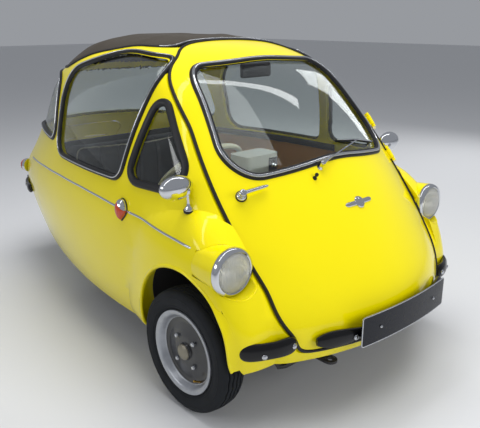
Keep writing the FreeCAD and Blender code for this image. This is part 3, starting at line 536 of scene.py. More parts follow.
# Flank strips: a thin bright moulding clipped along each side at the height of the headlamps, from
# the tail to the fender's shoulder.
FLANK_LINE = [
    (0.90, 0.655), (0.768, 0.667), (0.508, 0.689), (0.236, 0.7025), (-0.012, 0.7044), (-0.200, 0.6974),
    (-0.322, 0.6883), (-0.573, 0.6735), (-0.747, 0.664), (-0.868, 0.651),
]
for side, sign in (("left", 1), ("right", -1)):
    line = drawn_on(surface_of("side_panel_" + side, "tail_panel"), from_side(sign), FLANK_LINE, 0.02)
    moulding = strip("flank_strip_" + side, line, half_round(0.010, 0.0045, 0.003), chrome, False, taper=0.008)
    dress(moulding, "tub")

# Bumpers: moulded blocks of solid rubber, polished by handling, each held by bolts whose domed
# steel heads stand in the rubber.
# Moulded rubber, deep black with a wet shine and faint flow marks
bumper_rubber, tree, shader = new_material(
    "moulded_black_rubber", Base_Color=linear("0d0d0f"), Roughness=0.22, Specular_IOR_Level=0.35)
place, noise = grain(tree, shader, 260.0, 0.05, 0.0006)
mottle(tree, place, shader.inputs["Roughness"], 18.0, 0.16, 0.30)
# Zinc-plated steel bolts: pale grey, a little dull
bolt_steel, tree, shader = new_material(
    "zinc_plated_steel", Base_Color=linear("c6c8cc"), Metallic=1.0, Roughness=0.24)
place, noise = grain(tree, shader, 900.0, 0.05, 0.0002)
mottle(tree, place, shader.inputs["Roughness"], 60.0, 0.18, 0.34)
BOLT_HEAD = [(-0.004, 0.0), (-0.004, 0.8), (0.0, 1.0), (0.002, 0.98), (0.0045, 0.78), (0.006, 0.4), (0.0066, 0.0)]


def bolt(place, way, radius):
    profile = [(along, radius * share) for along, share in BOLT_HEAD]
    return spun("bolt", profile, place, way, bolt_steel, 20)


BUMPER_BOLTS = [
    # node, body, rays, places seen from in front or behind
    ("fender_bumper_left", "tub", from_front, [(0.472, 0.346), (0.576, 0.329)]),
    ("fender_bumper_right", "tub", from_front, [(-0.472, 0.346), (-0.576, 0.329)]),
    ("door_bumper", "door", from_front, [(-0.262, 0.340), (0.262, 0.340)]),
    ("rear_bumpers", "tub", from_back, [(-0.39, 0.470), (-0.30, 0.470), (0.30, 0.470), (0.39, 0.470)]),
]
for name, body, ray, places in BUMPER_BOLTS:
    finish_node(name, bumper_rubber)
    rubber = surface_of(name)
    bolts = []
    for x, z in places:
        point, normal, index, distance = rubber.ray_cast(*ray(x, z))
        bolts.append(bolt(point, normal, 0.0105))
    dress(joined(bolts, name + "_bolts"), body)

# Front plate: a blank sheet of pressed aluminium with rounded corners, painted black, with a thin
# raised border left bright and two screws.
# Gloss black plate paint, faintly blue in the light
plate_paint, tree, shader = new_material(
    "gloss_black_plate_paint", Base_Color=linear("0b0e18"), Roughness=0.3, Specular_IOR_Level=0.25)
place, noise = grain(tree, shader, 500.0, 0.04, 0.0003)
mottle(tree, place, shader.inputs["Roughness"], 20.0, 0.18, 0.36)
finish_node("number_plate_front", plate_paint)
plate_surface = surface_of("number_plate_front")
border = even(skin_rims("number_plate_front", from_front(0.0, 0.364))[0], 0.004)
edge = strip("number_plate_border", border, [
    (-0.0004, -0.003), (-0.0004, -0.0004), (0.0006, 0.0), (0.0030, 0.0), (0.0040, -0.0008), (0.0040, -0.003),
], bolt_steel)
dress(edge, "door")
screws = []
for x in (-0.17, 0.17):
    point, normal, index, distance = plate_surface.ray_cast(*from_front(x, 0.364))
    screws.append(bolt(point, normal, 0.006))
dress(joined(screws, "number_plate_screws"), "door")

# Headlamps: a pressed steel bowl let into the fender, a deep chromed ring, a silvered reflector
# with its bulb, and a domed glass with upright flutes moulded inside it.
# Silvered reflector: bright and slightly milky
silvered, tree, shader = new_material(
    "silvered_reflector", Base_Color=linear("e4e2da"), Metallic=1.0, Roughness=0.16)
place, noise = grain(tree, shader, 60.0, 0.05, 0.001)
mottle(tree, place, shader.inputs["Roughness"], 30.0, 0.10, 0.24)
# Moulded lamp glass: clear, with upright flutes 7 mm wide that break up the reflection
lamp_glass, tree, shader = new_material(
    "fluted_lamp_glass", Base_Color=linear("f4f5f0"), Roughness=0.06, IOR=1.45, Transmission_Weight=0.75)
place = add_node(tree, "ShaderNodeTexCoord")
flutes = add_node(
    tree, "ShaderNodeTexWave", {"bands_direction": "X"}, Scale=44.0, Vector=place.outputs["Object"])
bump = add_node(tree, "ShaderNodeBump", Strength=0.6, Distance=0.002, Height=flutes.outputs["Fac"])
tree.links.new(bump.outputs[0], shader.inputs["Normal"])
# Satin black paint over pressed steel, under the body and behind the lamps
under_paint, tree, shader = new_material(
    "satin_underbody_paint", Base_Color=linear("26262a"), Roughness=0.6)
place, noise = grain(tree, shader, 180.0, 0.25, 0.001)
mottle(tree, place, shader.inputs["Base Color"], 7.0, linear("1e1e21"), linear("302f30"))
RING = [
    (-0.046, 0.0790), (-0.016, 0.0796), (-0.008, 0.0850), (-0.003, 0.0862), (0.004, 0.0857),
    (0.011, 0.0832), (0.0155, 0.0785),
    (0.0170, 0.0730), (0.0150, 0.0700), (0.009, 0.0690), (-0.046, 0.0745), (-0.046, 0.0790),
]
LENS = [
    (0.0100, 0.0), (0.0080, 0.0400), (0.0040, 0.0690), (0.0120, 0.0705), (0.0200, 0.0620),
    (0.0275, 0.0450), (0.0320, 0.0240), (0.0335, 0.0),
]
MIRRORED_BOWL = [
    (0.0020, 0.0690), (-0.0200, 0.0560), (-0.0420, 0.0380), (-0.0560, 0.0180), (-0.0600, 0.0),
    (-0.0660, 0.0), (-0.0620, 0.0200), (-0.0460, 0.0430), (-0.0220, 0.0610), (0.0020, 0.0720),
    (0.0020, 0.0690),
]
LAMP_BOWL = [
    (-0.040, 0.0740), (-0.040, 0.0770), (-0.086, 0.0770), (-0.104, 0.0680), (-0.116, 0.0420),
    (-0.118, 0.0), (-0.114, 0.0), (-0.112, 0.0400), (-0.101, 0.0655), (-0.085, 0.0740), (-0.040, 0.0740),
]
BULB = [(-0.060, 0.0), (-0.060, 0.012), (-0.040, 0.012), (-0.030, 0.014), (-0.020, 0.011), (-0.016, 0.0)]
LAMP_TURNS = 90
for side, sign in (("left", 1), ("right", -1)):
    place = Vector((sign * 0.598, -0.975, 0.597))
    ahead = Vector((0, -1, 0))
    node = "headlamp_" + side
    ends = {}
    for rim in skin_rims("side_panel_" + side, from_side(sign)(0.2, 0.55), 32)[:3]:
        for (first, normal), (last, normal) in zip(rim, rim[1:] + rim[:1]):
            for step in range(10):
                at = first + (last - first) * step / 10 - place
                radius = math.hypot(at.x, at.z)
                turn = round(math.atan2(at.z, at.x) / (2 * math.pi) * LAMP_TURNS) % LAMP_TURNS
                if 0.072 < radius < 0.0885 and abs(at.y) < 0.13 and at.y < ends.get(turn, (0, 1))[1]:
                    ends[turn] = (radius, at.y)
    rings = []
    for turn in range(LAMP_TURNS):
        near = [ends[(turn + step) % LAMP_TURNS] for step in range(-1, 2) if (turn + step) % LAMP_TURNS in ends]
        if not near:
            near = [ends[min(ends, key=lambda known: abs(known - turn))]]
        radius = sum(entry[0] for entry in near) / len(near) - 0.0004
        back = sum(entry[1] for entry in near) / len(near) + 0.0006
        section = [
            (radius - 0.0015, back + 0.006), (radius, back),
            ((radius + 0.0856) / 2 + 0.0003, (back + 0.0080) / 2), (0.0856, 0.0080), (0.0835, 0.0080),
            (radius - 0.0035, back + 0.006),
        ]
        angle = 2 * math.pi * turn / LAMP_TURNS
        way = Vector((math.cos(angle), 0, math.sin(angle)))
        rings.append([place + way * r + Vector((0, y, 0)) for r, y in section])
    dress(skinned("lamp_fairing_" + side, rings, enamel), "tub")
    for part, profile, material, slot in (
        ("_ring", RING, chrome, "bright_trim"),
        ("_glass", LENS, lamp_glass, "window_glass"),
        ("_reflector", MIRRORED_BOWL, silvered, "bright_trim"),
        ("_bowl", LAMP_BOWL, enamel, "yellow_paint"),
        ("_bulb", BULB, silvered, "bright_trim"),
    ):
        piece = dress(spun(node + part, profile, place, ahead, material, 64), "tub")
        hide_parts(node)

# Door handle: a chromed lever that tapers from its round hub, on a domed rose with a black gasket.
door_skin = surface_of("door_panel")
point, normal, index, distance = door_skin.ray_cast(*from_front(-0.443, 0.800))
gasket = spun("door_handle_gasket", [
    (-0.004, 0.0), (-0.004, 0.021), (0.003, 0.021), (0.004, 0.019), (0.004, 0.0),
], point, normal, seal_rubber)
dress(gasket, "door")
rose = spun("door_handle_rose", [
    (0.002, 0.0), (0.002, 0.0175), (0.006, 0.0180), (0.010, 0.0160), (0.012, 0.0120),
    (0.026, 0.0105), (0.030, 0.0125), (0.040, 0.0125), (0.043, 0.0090), (0.044, 0.0),
], point, normal, chrome)
lever_from = point + normal * 0.034
lever_run = Vector((0.103, -0.020, 0.016))
lever = spun("door_handle_lever", [
    (-0.013, 0.0), (-0.012, 0.006), (-0.006, 0.0105), (0.004, 0.0110), (0.016, 0.0088),
    (0.050, 0.0080), (0.085, 0.0078), (0.098, 0.0066), (0.105, 0.0040), (0.107, 0.0),
], lever_from, lever_run, chrome)
for piece in (rose, squeezed(lever, lever_from, (1, 1, 0.8))):
    dress(piece, "door")
    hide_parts("door_handle")

# Wiper: a chromed spindle under the windscreen, a sprung arm that narrows to its tip, and a rubber
# blade in a thin bright holder, which lies on the glass.
glass_skin = surface_of("windscreen")
point, normal, index, distance = door_skin.ray_cast(*from_front(-0.102, 0.862))
spindle_way = (normal + Vector((0, 0, 0.25))).normalized()
spindle = spun("wiper_spindle", [
    (-0.006, 0.0), (-0.006, 0.013), (0.002, 0.0125), (0.006, 0.0090), (0.018, 0.0085),
    (0.020, 0.0100), (0.030, 0.0095), (0.033, 0.0060), (0.034, 0.0),
], point, spindle_way, chrome)
arm_from = point + spindle_way * 0.026
blade_line = drawn_on(glass_skin, from_front, [(0.064, 0.929), (0.197, 0.9126), (0.330, 0.884)], 0.01)
blade_middle = blade_line[len(blade_line) // 2]
arm_to = blade_middle[0] + blade_middle[1] * 0.017
arm_long = (arm_to - arm_from).length
arm = spun("wiper_arm", [
    (-0.012, 0.0), (-0.010, 0.0065), (0.010, 0.0075), (0.034, 0.0058), (0.040, 0.0042),
    (arm_long - 0.02, 0.0026), (arm_long, 0.0026), (arm_long + 0.002, 0.0),
], arm_from, arm_to - arm_from, chrome, 24)
holder = strip("wiper_blade_holder", blade_line, raised(half_round(0.005, 0.004, 0.0), 0.012), chrome, False)
for piece in (spindle, arm, holder):
    dress(piece, "door")
    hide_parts("windscreen_wiper")
blade = strip("wiper_blade", blade_line, [
    (-0.001, 0.0005), (-0.0035, 0.006), (-0.0035, 0.0125), (0.0035, 0.0125), (0.0035, 0.006), (0.001, 0.0005),
], seal_rubber, False)
dress(blade, "door")

# Washer jet: a small black nozzle of moulded plastic in front of the wiper.
# Moulded plastic, black and half matt
black_plastic, tree, shader = new_material(
    "moulded_black_plastic", Base_Color=linear("141416"), Roughness=0.38)
place, noise = grain(tree, shader, 800.0, 0.10, 0.0003)
mottle(tree, place, shader.inputs["Roughness"], 40.0, 0.30, 0.46)
point, normal, index, distance = door_skin.ray_cast(*from_front(-0.151, 0.832))
jet = spun("washer_jet", [
    (-0.003, 0.0), (-0.003, 0.009), (0.003, 0.0085), (0.006, 0.005), (0.012, 0.0045),
    (0.015, 0.0075), (0.021, 0.0070), (0.024, 0.0040), (0.025, 0.0),
], point, normal + Vector((0.1, 0, 0.5)), black_plastic, 24)
dress(jet, "door")

# Nose ornament: a plain bar of chromed casting with a round boss, bent to the door.
bar_line = drawn_on(door_skin, from_front, [(-0.078, 0.731), (0.078, 0.731)], 0.006)
bar = strip("nose_ornament_bar", bar_line, half_round(0.020, 0.006, 0.002), chrome, False, taper=0.02)
point, normal, index, distance = door_skin.ray_cast(*from_front(0.0, 0.731))
boss = spun("nose_ornament_boss", [
    (-0.002, 0.0), (-0.002, 0.024), (0.003, 0.024), (0.006, 0.021), (0.006, 0.017), (0.009, 0.013),
    (0.0105, 0.006), (0.011, 0.0),
], point, normal, chrome)
for piece in (bar, boss):
    dress(piece, "door")

# Door mirrors: a chromed bowl on a tapering stalk, with a round foot on a rubber washer on the
# fender's crest and a flat glass that faces the driver.
# Back-silvered mirror glass: perfectly smooth
mirror_glass, tree, shader = new_material(
    "silvered_mirror_glass", Base_Color=linear("dfe6e8"), Metallic=1.0, Roughness=0.02)
place = add_node(tree, "ShaderNodeTexCoord")
mottle(tree, place, shader.inputs["Roughness"], 12.0, 0.01, 0.03)
for side, sign in (("left", 1), ("right", -1)):
    fender = surface_of("side_panel_" + side)
    foot, normal, index, distance = fender.ray_cast(*from_above(sign * 0.586, -0.738))
    head = foot + Vector((sign * 0.040, 0.022, 0.085))
    bowl = [(-0.006, 0.0), (-0.006, 0.0560), (0.0, 0.0615), (0.006, 0.0618)]
    bowl += [(0.006 + 0.040 * math.sin(math.radians(a)), 0.0618 * math.cos(math.radians(a))) for a in range(10, 91, 10)]
    shell = squeezed(spun("mirror_bowl_" + side, bowl, head, (0, -1, 0), chrome, 48), head, (1.12, 0.9, 0.72))
    pane = spun("mirror_glass_" + side, [
        (-0.0085, 0.0), (-0.0085, 0.0535), (-0.0055, 0.0545), (-0.0055, 0.0),
    ], head, (0, -1, 0), mirror_glass, 48)
    squeezed(pane, head, (1.12, 0.9, 0.72))
    top = head + Vector((-sign * 0.030, -0.030, -0.012))
    run = top - foot
    stalk = spun("mirror_stalk_" + side, [
        (-0.002, 0.0), (-0.002, 0.0165), (0.006, 0.0170), (0.012, 0.0130), (0.018, 0.0075),
        (0.030, 0.0052), (run.length - 0.014, 0.0048), (run.length - 0.010, 0.0100),
        (run.length + 0.004, 0.0110), (run.length + 0.010, 0.0080), (run.length + 0.012, 0.0),
    ], foot, run, chrome, 32)
    washer = spun("mirror_washer_" + side, [
        (-0.006, 0.0), (-0.006, 0.0195), (0.0015, 0.0200), (0.0025, 0.0180), (0.0025, 0.0),
    ], foot, run, seal_rubber, 32)
    dress(washer, "tub")
    for piece in (shell, pane, stalk):
        dress(piece, "tub")
        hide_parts("mirrors")

# Side indicators: a lens of orange plastic shaped like a drop, under a chromed hood, on a black pad.
# Moulded acrylic lens: deep orange red, lit from within by what falls on it
amber_lens, tree, shader = new_material(
    "moulded_amber_lens", Base_Color=linear("e8421c"), Roughness=0.12, Transmission_Weight=0.25,
    IOR=1.49, Coat_Weight=0.6)
place, noise = grain(tree, shader, 220.0, 0.15, 0.001)
mottle(tree, place, shader.inputs["Base Color"], 40.0, linear("d42e14"), linear("f2602c"))
DROP = [(-0.004, 0.0), (-0.004, 1.0), (0.006, 1.0), (0.014, 0.94), (0.022, 0.76), (0.027, 0.45), (0.029, 0.0)]


def drop(name, place, way, radius, rise, material, lift=0.0):
    """A dome that is taller than it is wide and comes to a point below."""
    profile = [(along * rise + lift, share * radius) for along, share in DROP]
    piece = spun(name, profile, place, way, material, 48)
    for vertex in piece.data.vertices:
        down = (place.z - vertex.co.z) / radius
        vertex.co.z = place.z + (vertex.co.z - place.z) * 1.35
        if down > 0:
            vertex.co.y = place.y + (vertex.co.y - place.y) * (1 - 0.72 * down ** 1.6)
    return piece


for side, sign in (("left", 1), ("right", -1)):
    point, normal, index, distance = surface_of("side_panel_" + side).ray_cast(*from_side(sign)(-0.374, 0.684))
    pad = drop("indicator_pad_" + side, point, normal, 0.0345, 0.3, seal_rubber)
    dress(pad, "tub")
    lens = drop("indicator_lens_" + side, point, normal, 0.0305, 1.0, amber_lens)
    hood = drop("indicator_hood_" + side, point, normal, 0.0325, 1.05, chrome)
    bpy.ops.object.select_all(action="DESELECT")
    hood.select_set(True)
    bpy.context.view_layer.objects.active = hood
    bpy.ops.object.mode_set(mode="EDIT")
    bpy.ops.mesh.select_all(action="SELECT")
    bpy.ops.mesh.bisect(
        plane_co=point + Vector((0, -0.010, 0.021)), plane_no=(0, 0.62, -0.78), clear_outer=True, use_fill=True)
    bpy.ops.object.mode_set(mode="OBJECT")
    outwards(hood)
    for piece, slot in ((lens, "lens_red"), (hood, "bright_trim")):
        dress(piece, "tub")
        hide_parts("side_indicators")

# Tail lamps: a round red lens in a chromed base on each side of the tail.
# Moulded acrylic, ruby red
ruby_lens, tree, shader = new_material(
    "moulded_ruby_lens", Base_Color=linear("b3130f"), Roughness=0.12, Transmission_Weight=0.2, IOR=1.49,
    Coat_Weight=0.6)
place, noise = grain(tree, shader, 220.0, 0.15, 0.001)
mottle(tree, place, shader.inputs["Base Color"], 40.0, linear("9a0f0c"), linear("c81c14"))
tail_skin = surface_of("tail_panel")
for side, sign in (("left", 1), ("right", -1)):
    point, normal, index, distance = tail_skin.ray_cast(*from_back(sign * 0.330, 0.560))
    way = Vector((sign * 0.35, 1, 0))
    base = spun("tail_lamp_base_" + side, [
        (-0.012, 0.0), (-0.012, 0.0395), (0.006, 0.0400), (0.009, 0.0375), (0.009, 0.0),
    ], point, way, chrome, 40)
    lens = spun("tail_lamp_lens_" + side, [
        (0.006, 0.0), (0.006, 0.0355), (0.018, 0.0350), (0.020, 0.0330), (0.026, 0.0300),
        (0.0305, 0.0200), (0.0320, 0.0),
    ], point, way, ruby_lens, 40)
    for piece, slot in ((base, "bright_trim"), (lens, "lens_red")):
        dress(piece, "tub")
        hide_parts("tail_lamps")

# Wheels: pressed steel discs in gloss black with a silver band round the edge, a domed hub cap,
# four nuts and a brass valve; narrow tyres with zigzag grooves.
# Gloss black wheel enamel
wheel_enamel, tree, shader = new_material(
    "gloss_black_wheel_enamel", Base_Color=linear("16171a"), Roughness=0.3, Coat_Weight=0.5)
place, noise = grain(tree, shader, 300.0, 0.06, 0.0004)
mottle(tree, place, shader.inputs["Roughness"], 25.0, 0.24, 0.42)
# Silver wheel paint: fine aluminium flakes in lacquer
silver_paint, tree, shader = new_material(
    "silver_wheel_paint", Base_Color=linear("a9acb2"), Metallic=0.6, Roughness=0.34)
place, noise = grain(tree, shader, 900.0, 0.08, 0.0002)
mottle(tree, place, shader.inputs["Base Color"], 45.0, linear("989ba1"), linear("b8bbc0"))
# Hub cap of dulled aluminium, warm grey
cap_metal, tree, shader = new_material(
    "dulled_aluminium", Base_Color=linear("8f8a7c"), Metallic=0.7, Roughness=0.45)
place, noise = grain(tree, shader, 300.0, 0.12, 0.0004)
mottle(tree, place, shader.inputs["Roughness"], 60.0, 0.36, 0.58)
# Brass, turned
brass, tree, shader = new_material(
    "turned_brass", Base_Color=linear("c79a3c"), Metallic=1.0, Roughness=0.25)
place = add_node(tree, "ShaderNodeTexCoord")
mottle(tree, place, shader.inputs["Roughness"], 90.0, 0.18, 0.34)
# Tyre rubber: carbon black, matt, with paler dust held in its grain
tyre_rubber, tree, shader = new_material(
    "vulcanised_tyre_rubber", Base_Color=linear("17191c"), Roughness=0.8, Specular_IOR_Level=0.3)
place, noise = grain(tree, shader, 420.0, 0.25, 0.0006)
mottle(tree, place, shader.inputs["Base Color"], 16.0, linear("121416"), linear("22252a"))

AXLE_HEIGHT = 0.236
BAND = [
    (0.0262, 0.1280), (0.0277, 0.1314), (0.0300, 0.1326), (0.0440, 0.1397), (0.0480, 0.1436), (0.0512, 0.1490),
    (0.0518, 0.1600), (0.0490, 0.1612), (0.0450, 0.1605), (0.0450, 0.1560), (0.0400, 0.1440), (0.0240, 0.1350),
    (0.0240, 0.1280), (0.0262, 0.1280),
]
HUB_CAP = [(0.042, 0.0), (0.042, 0.0305), (0.046, 0.0300), (0.052, 0.0235), (0.0552, 0.0120), (0.0560, 0.0)]
NUT = [(0.0, 0.0), (0.0, 0.0100), (0.008, 0.0095), (0.013, 0.0065), (0.015, 0.0)]
VALVE = [(-0.012, 0.0), (-0.012, 0.0035), (0.012, 0.0030), (0.014, 0.0042), (0.022, 0.0040), (0.024, 0.0)]
NUT_CIRCLE = 0.066
GROOVES = (-0.027, -0.009, 0.009, 0.027)
GROOVE_HALF = 0.0026
GROOVE_DEEP = 0.0065
TREAD_STEPS = 120


def tread_profile():
    """One tyre's section, bead to bead, with its grooves and the ribs on its walls."""
    def crown(x):
        return 0.236 - 0.004 * (x / 0.038) ** 2
    half = [(0.044, 0.1515), (0.044, 0.1640), (0.0485, 0.1690), (0.0518, 0.1755), (0.0530, 0.1760),
            (0.0534, 0.1785), (0.0528, 0.1792), (0.0552, 0.1880), (0.0560, 0.1970), (0.0556, 0.2060),
            (0.0562, 0.2068), (0.0560, 0.2095), (0.0550, 0.2102), (0.0535, 0.2160), (0.0510, 0.2220),
            (0.0470, 0.2275), (0.0420, 0.2305)]
    section = [(-x, radius) for x, radius in half]
    section.append((-0.038, crown(0.038)))
    for groove in GROOVES:
        left = groove - GROOVE_HALF
        right = groove + GROOVE_HALF
        section += [(left, crown(left)), (left + 0.0006, crown(left) - GROOVE_DEEP)]
        section += [(right - 0.0006, crown(right) - GROOVE_DEEP), (right, crown(right))]
    section.append((0.038, crown(0.038)))
    section += reversed(half)
    section.append(section[0])
    return section


WHEELS = [
    # name, body, axle's middle, outer side
    ("front_left", "wheel_front_left", (0.610, -0.770, AXLE_HEIGHT), 1),
    ("front_right", "wheel_front_right", (-0.610, -0.770, AXLE_HEIGHT), -1),
    ("rear", "wheel_rear", (0.0, 0.985, AXLE_HEIGHT), 1),
]
for name, body, middle, sign in WHEELS:
    middle = Vector(middle)
    out = Vector((sign, 0, 0))
    finish_node("rim_" + name, wheel_enamel)
    band = spun("wheel_band_" + name, BAND, middle, out, silver_paint, 72)
    dress(band, body)
    cap = spun("hub_cap_" + name, HUB_CAP, middle, out, cap_metal, 40)
    dress(cap, body)
    nuts = []
    for turn in range(4):
        angle = math.pi / 4 + turn * math.pi / 2
        at = middle + Vector((sign * 0.029, NUT_CIRCLE * math.cos(angle), NUT_CIRCLE * math.sin(angle)))
        nuts.append(spun("nut", NUT, at, out, bolt_steel, 6, 20))
    dress(joined(nuts, "wheel_nuts_" + name), body)
    at = middle + Vector((sign * 0.030, 0.120 * math.cos(-2.2), 0.120 * math.sin(-2.2)))
    dress(spun("valve_" + name, VALVE, at, out + Vector((0, 0.3, 0.4)), brass, 16), body)
    tyre = spun("tyre_tread_" + name, tread_profile(), middle, (1, 0, 0), tyre_rubber, TREAD_STEPS, 30)
    for vertex in tyre.data.vertices:
        x = vertex.co.x - middle.x
        if abs(x) < 0.034:
            angle = math.atan2(vertex.co.z - middle.z, vertex.co.y - middle.y)
            tooth = round(angle / (2 * math.pi) * TREAD_STEPS) % 4
            vertex.co.x += (0.0, 0.0022, 0.0, -0.0022)[tooth]
    dress(tyre, body)
    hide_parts("tyre_" + name)

# Running gear: forged knuckles and forks, a welded swing arm, the cast engine with its exhaust, and
# the painted floor, wheel houses and bulkhead.
# Forged steel, painted black, with scale under the paint
forged_steel, tree, shader = new_material(
    "painted_forged_steel", Base_Color=linear("2a2b2d"), Metallic=0.4, Roughness=0.5)
place, noise = grain(tree, shader, 150.0, 0.35, 0.001)
mottle(tree, place, shader.inputs["Base Color"], 20.0, linear("222325"), linear("383632"))
# Sand-cast aluminium, grey and grainy
cast_alloy, tree, shader = new_material(
    "sand_cast_aluminium", Base_Color=linear("8e9092"), Metallic=0.9, Roughness=0.5)
place, noise = grain(tree, shader, 260.0, 0.5, 0.001)
mottle(tree, place, shader.inputs["Roughness"], 14.0, 0.42, 0.64)
# Exhaust steel, dulled and browned by heat
heated_steel, tree, shader = new_material(
    "heated_steel_tube", Base_Color=linear("77706a"), Metallic=0.9, Roughness=0.42)
place, noise = grain(tree, shader, 240.0, 0.2, 0.0008)
mottle(tree, place, shader.inputs["Base Color"], 10.0, linear("5d534b"), linear("8a857e"))
for name in ("knuckle_left", "knuckle_right", "suspension_arms", "rear_swing_arm"):
    finish_node(name, forged_steel)
finish_node("engine_block", cast_alloy)
finish_node("exhaust_pipe", heated_steel)
for name in ("floor_pan", "wheel_houses", "rear_bulkhead", "seat_base"):
    finish_node(name, under_paint)

# Steering: a column with a pod of instruments, in hammered enamel, and an ivory wheel.
# Hammered enamel, pale grey, with dimples 3 mm across
pod_enamel, tree, shader = new_material(
    "hammered_grey_enamel", Base_Color=linear("c4c5ba"), Roughness=0.35, Coat_Weight=0.5)
place, noise = grain(tree, shader, 320.0, 0.12, 0.0008)
mottle(tree, place, shader.inputs["Base Color"], 12.0, linear("b9baae"), linear("cfd0c6"))
# Ivory plastic of the steering wheel, polished by hands
ivory, tree, shader = new_material(
    "polished_ivory_plastic", Base_Color=linear("d9d2b4"), Roughness=0.28, Coat_Weight=0.3)
place, noise = grain(tree, shader, 200.0, 0.04, 0.0004)
mottle(tree, place, shader.inputs["Base Color"], 10.0, linear("cfc7a6"), linear("e0dabf"))
finish_node("steering_column", pod_enamel)
finish_node("steering_wheel", ivory)
WHEEL_MIDDLE = Vector((-0.300, -0.450, 0.780))
COLUMN_WAY = Vector((0, 0.721, 0.693))
button = spun("horn_button", [
    (-0.002, 0.0), (-0.002, 0.026), (0.006, 0.0265), (0.010, 0.0230), (0.013, 0.0130), (0.014, 0.0),
], WHEEL_MIDDLE, COLUMN_WAY, chrome)
dress(button, "steering")
# pod: x -300..-130, y -735..-625, z 800..896
panel = new_mesh_object("pod_panel", [
    (-0.190, -0.7375, 0.815), (-0.145, -0.7375, 0.815), (-0.145, -0.7375, 0.880), (-0.190, -0.7375, 0.880),
    (-0.190, -0.7330, 0.815), (-0.145, -0.7330, 0.815), (-0.145, -0.7330, 0.880), (-0.190, -0.7330, 0.880),
], [(0, 1, 2, 3), (7, 6, 5, 4), (0, 4, 5, 1), (1, 5, 6, 2), (2, 6, 7, 3), (3, 7, 4, 0)], black_plastic)
dress(outwards(panel), "tub")
knob = spun("pod_knob", [
    (-0.004, 0.0), (-0.004, 0.0105), (0.002, 0.0100), (0.006, 0.0065), (0.012, 0.0075), (0.016, 0.0050), (0.017, 0.0),
], (-0.167, -0.7375, 0.848), (0, -1, 0), chrome, 24)
dress(knob, "tub")
bezel = spun("speedometer_bezel", [
    (-0.004, 0.036), (-0.004, 0.043), (0.004, 0.043), (0.006, 0.040), (0.004, 0.036), (-0.004, 0.036),
], (-0.215, -0.625, 0.848), (0, 1, 0), chrome)
dress(bezel, "tub")
dial = spun("speedometer_dial", [
    (-0.003, 0.0), (-0.003, 0.0375), (0.0015, 0.0375), (0.0015, 0.0),
], (-0.215, -0.625, 0.848), (0, 1, 0), black_plastic)
dress(dial, "tub")

# Roof: one sheet of coated cloth, stretched over three bows and fixed all round its opening under a
# black bead, with a bright strip along its front edge.
# Coated cotton cloth: grey brown, matt, woven at about 1 mm, drawn here at 3 mm so that it shows
roof_cloth, tree, shader = new_material(
    "coated_cotton_cloth", Base_Color=linear("352f27"), Roughness=0.8, Sheen_Weight=0.08,
    Specular_IOR_Level=0.2)
place = add_node(tree, "ShaderNodeTexCoord")
warp = add_node(
    tree, "ShaderNodeTexWave", {"bands_direction": "X"}, Scale=105.0, Distortion=0.6,
    Vector=place.outputs["Object"])
weft = add_node(
    tree, "ShaderNodeTexWave", {"bands_direction": "Y"}, Scale=105.0, Distortion=0.6,
    Vector=place.outputs["Object"])
weave = add_node(tree, "ShaderNodeMath", {"operation": "MAXIMUM"}, n0=warp.outputs["Fac"], n1=weft.outputs["Fac"])
bump = add_node(tree, "ShaderNodeBump", Strength=0.35, Distance=0.0006, Height=weave.outputs[0])
tree.links.new(bump.outputs[0], shader.inputs["Normal"])
mottle(tree, place, shader.inputs["Base Color"], 5.0, linear("302a22"), linear("3e372e"))

ROOF_RINGS = 26
ROOF_BOWS = (-0.06, 0.20, 0.46)
CLOTH_THICK = 0.003
roof_top = surface_of("fabric_roof")
roof_low, roof_high = [Vector(corner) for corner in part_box("fabric_roof")]
roof_middle = (0.0, (roof_low.y + roof_high.y) / 2)
roof_rim = even(skin_rims("fabric_roof", from_above(*roof_middle))[0], 0.017)


def turn_of(entry):
    return math.atan2(entry[0].y - roof_middle[1], entry[0].x) % (2 * math.pi)


roof_rim.sort(key=turn_of)


def on_roof(x, y, share):
    """A point of the cloth, which stands a little higher on its bows than between them."""
    point, normal, index, distance = roof_top.ray_cast(*from_above(x, y))
    lift = 0.0015
    for bow in ROOF_BOWS:
        lift += 0.0035 * math.exp(-((y - bow) / 0.035) ** 2)
    lift *= min(1.0, (1 - share) * 6)
    return point + Vector((0, 0, lift))


cloth_points = [on_roof(roof_middle[0], roof_middle[1], 0.0)]
cloth_faces = []
for ring in range(1, ROOF_RINGS + 1):
    share = ring / ROOF_RINGS
    for point, normal in roof_rim:
        inside = min(share, 0.985)
        x = point.x * inside
        y = roof_middle[1] + (point.y - roof_middle[1]) * inside
        at = on_roof(x, y, share)
        if ring == ROOF_RINGS:
            at = point.copy()
        cloth_points.append(at)
rays = len(roof_rim)
for step in range(rays):
    after = (step + 1) % rays
    cloth_faces.append((0, 1 + step, 1 + after))
    for ring in range(ROOF_RINGS - 1):
        here = 1 + ring * rays
        cloth_faces.append((here + step, here + rays + step, here + rays + after, here + after))
cloth = new_mesh_object("fabric_roof_cloth", cloth_points, cloth_faces, roof_cloth)


thicken = cloth.modifiers.new("thickness", "SOLIDIFY")
thicken.thickness = CLOTH_THICK
thicken.offset = -1
bpy.ops.object.select_all(action="DESELECT")
cloth.select_set(True)
bpy.context.view_layer.objects.active = cloth
bpy.ops.object.modifier_apply(modifier="thickness")
if cloth.data.polygons[0].normal.z < 0:
    outwards(cloth, 60)
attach(cloth, "tub")
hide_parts("fabric_roof")

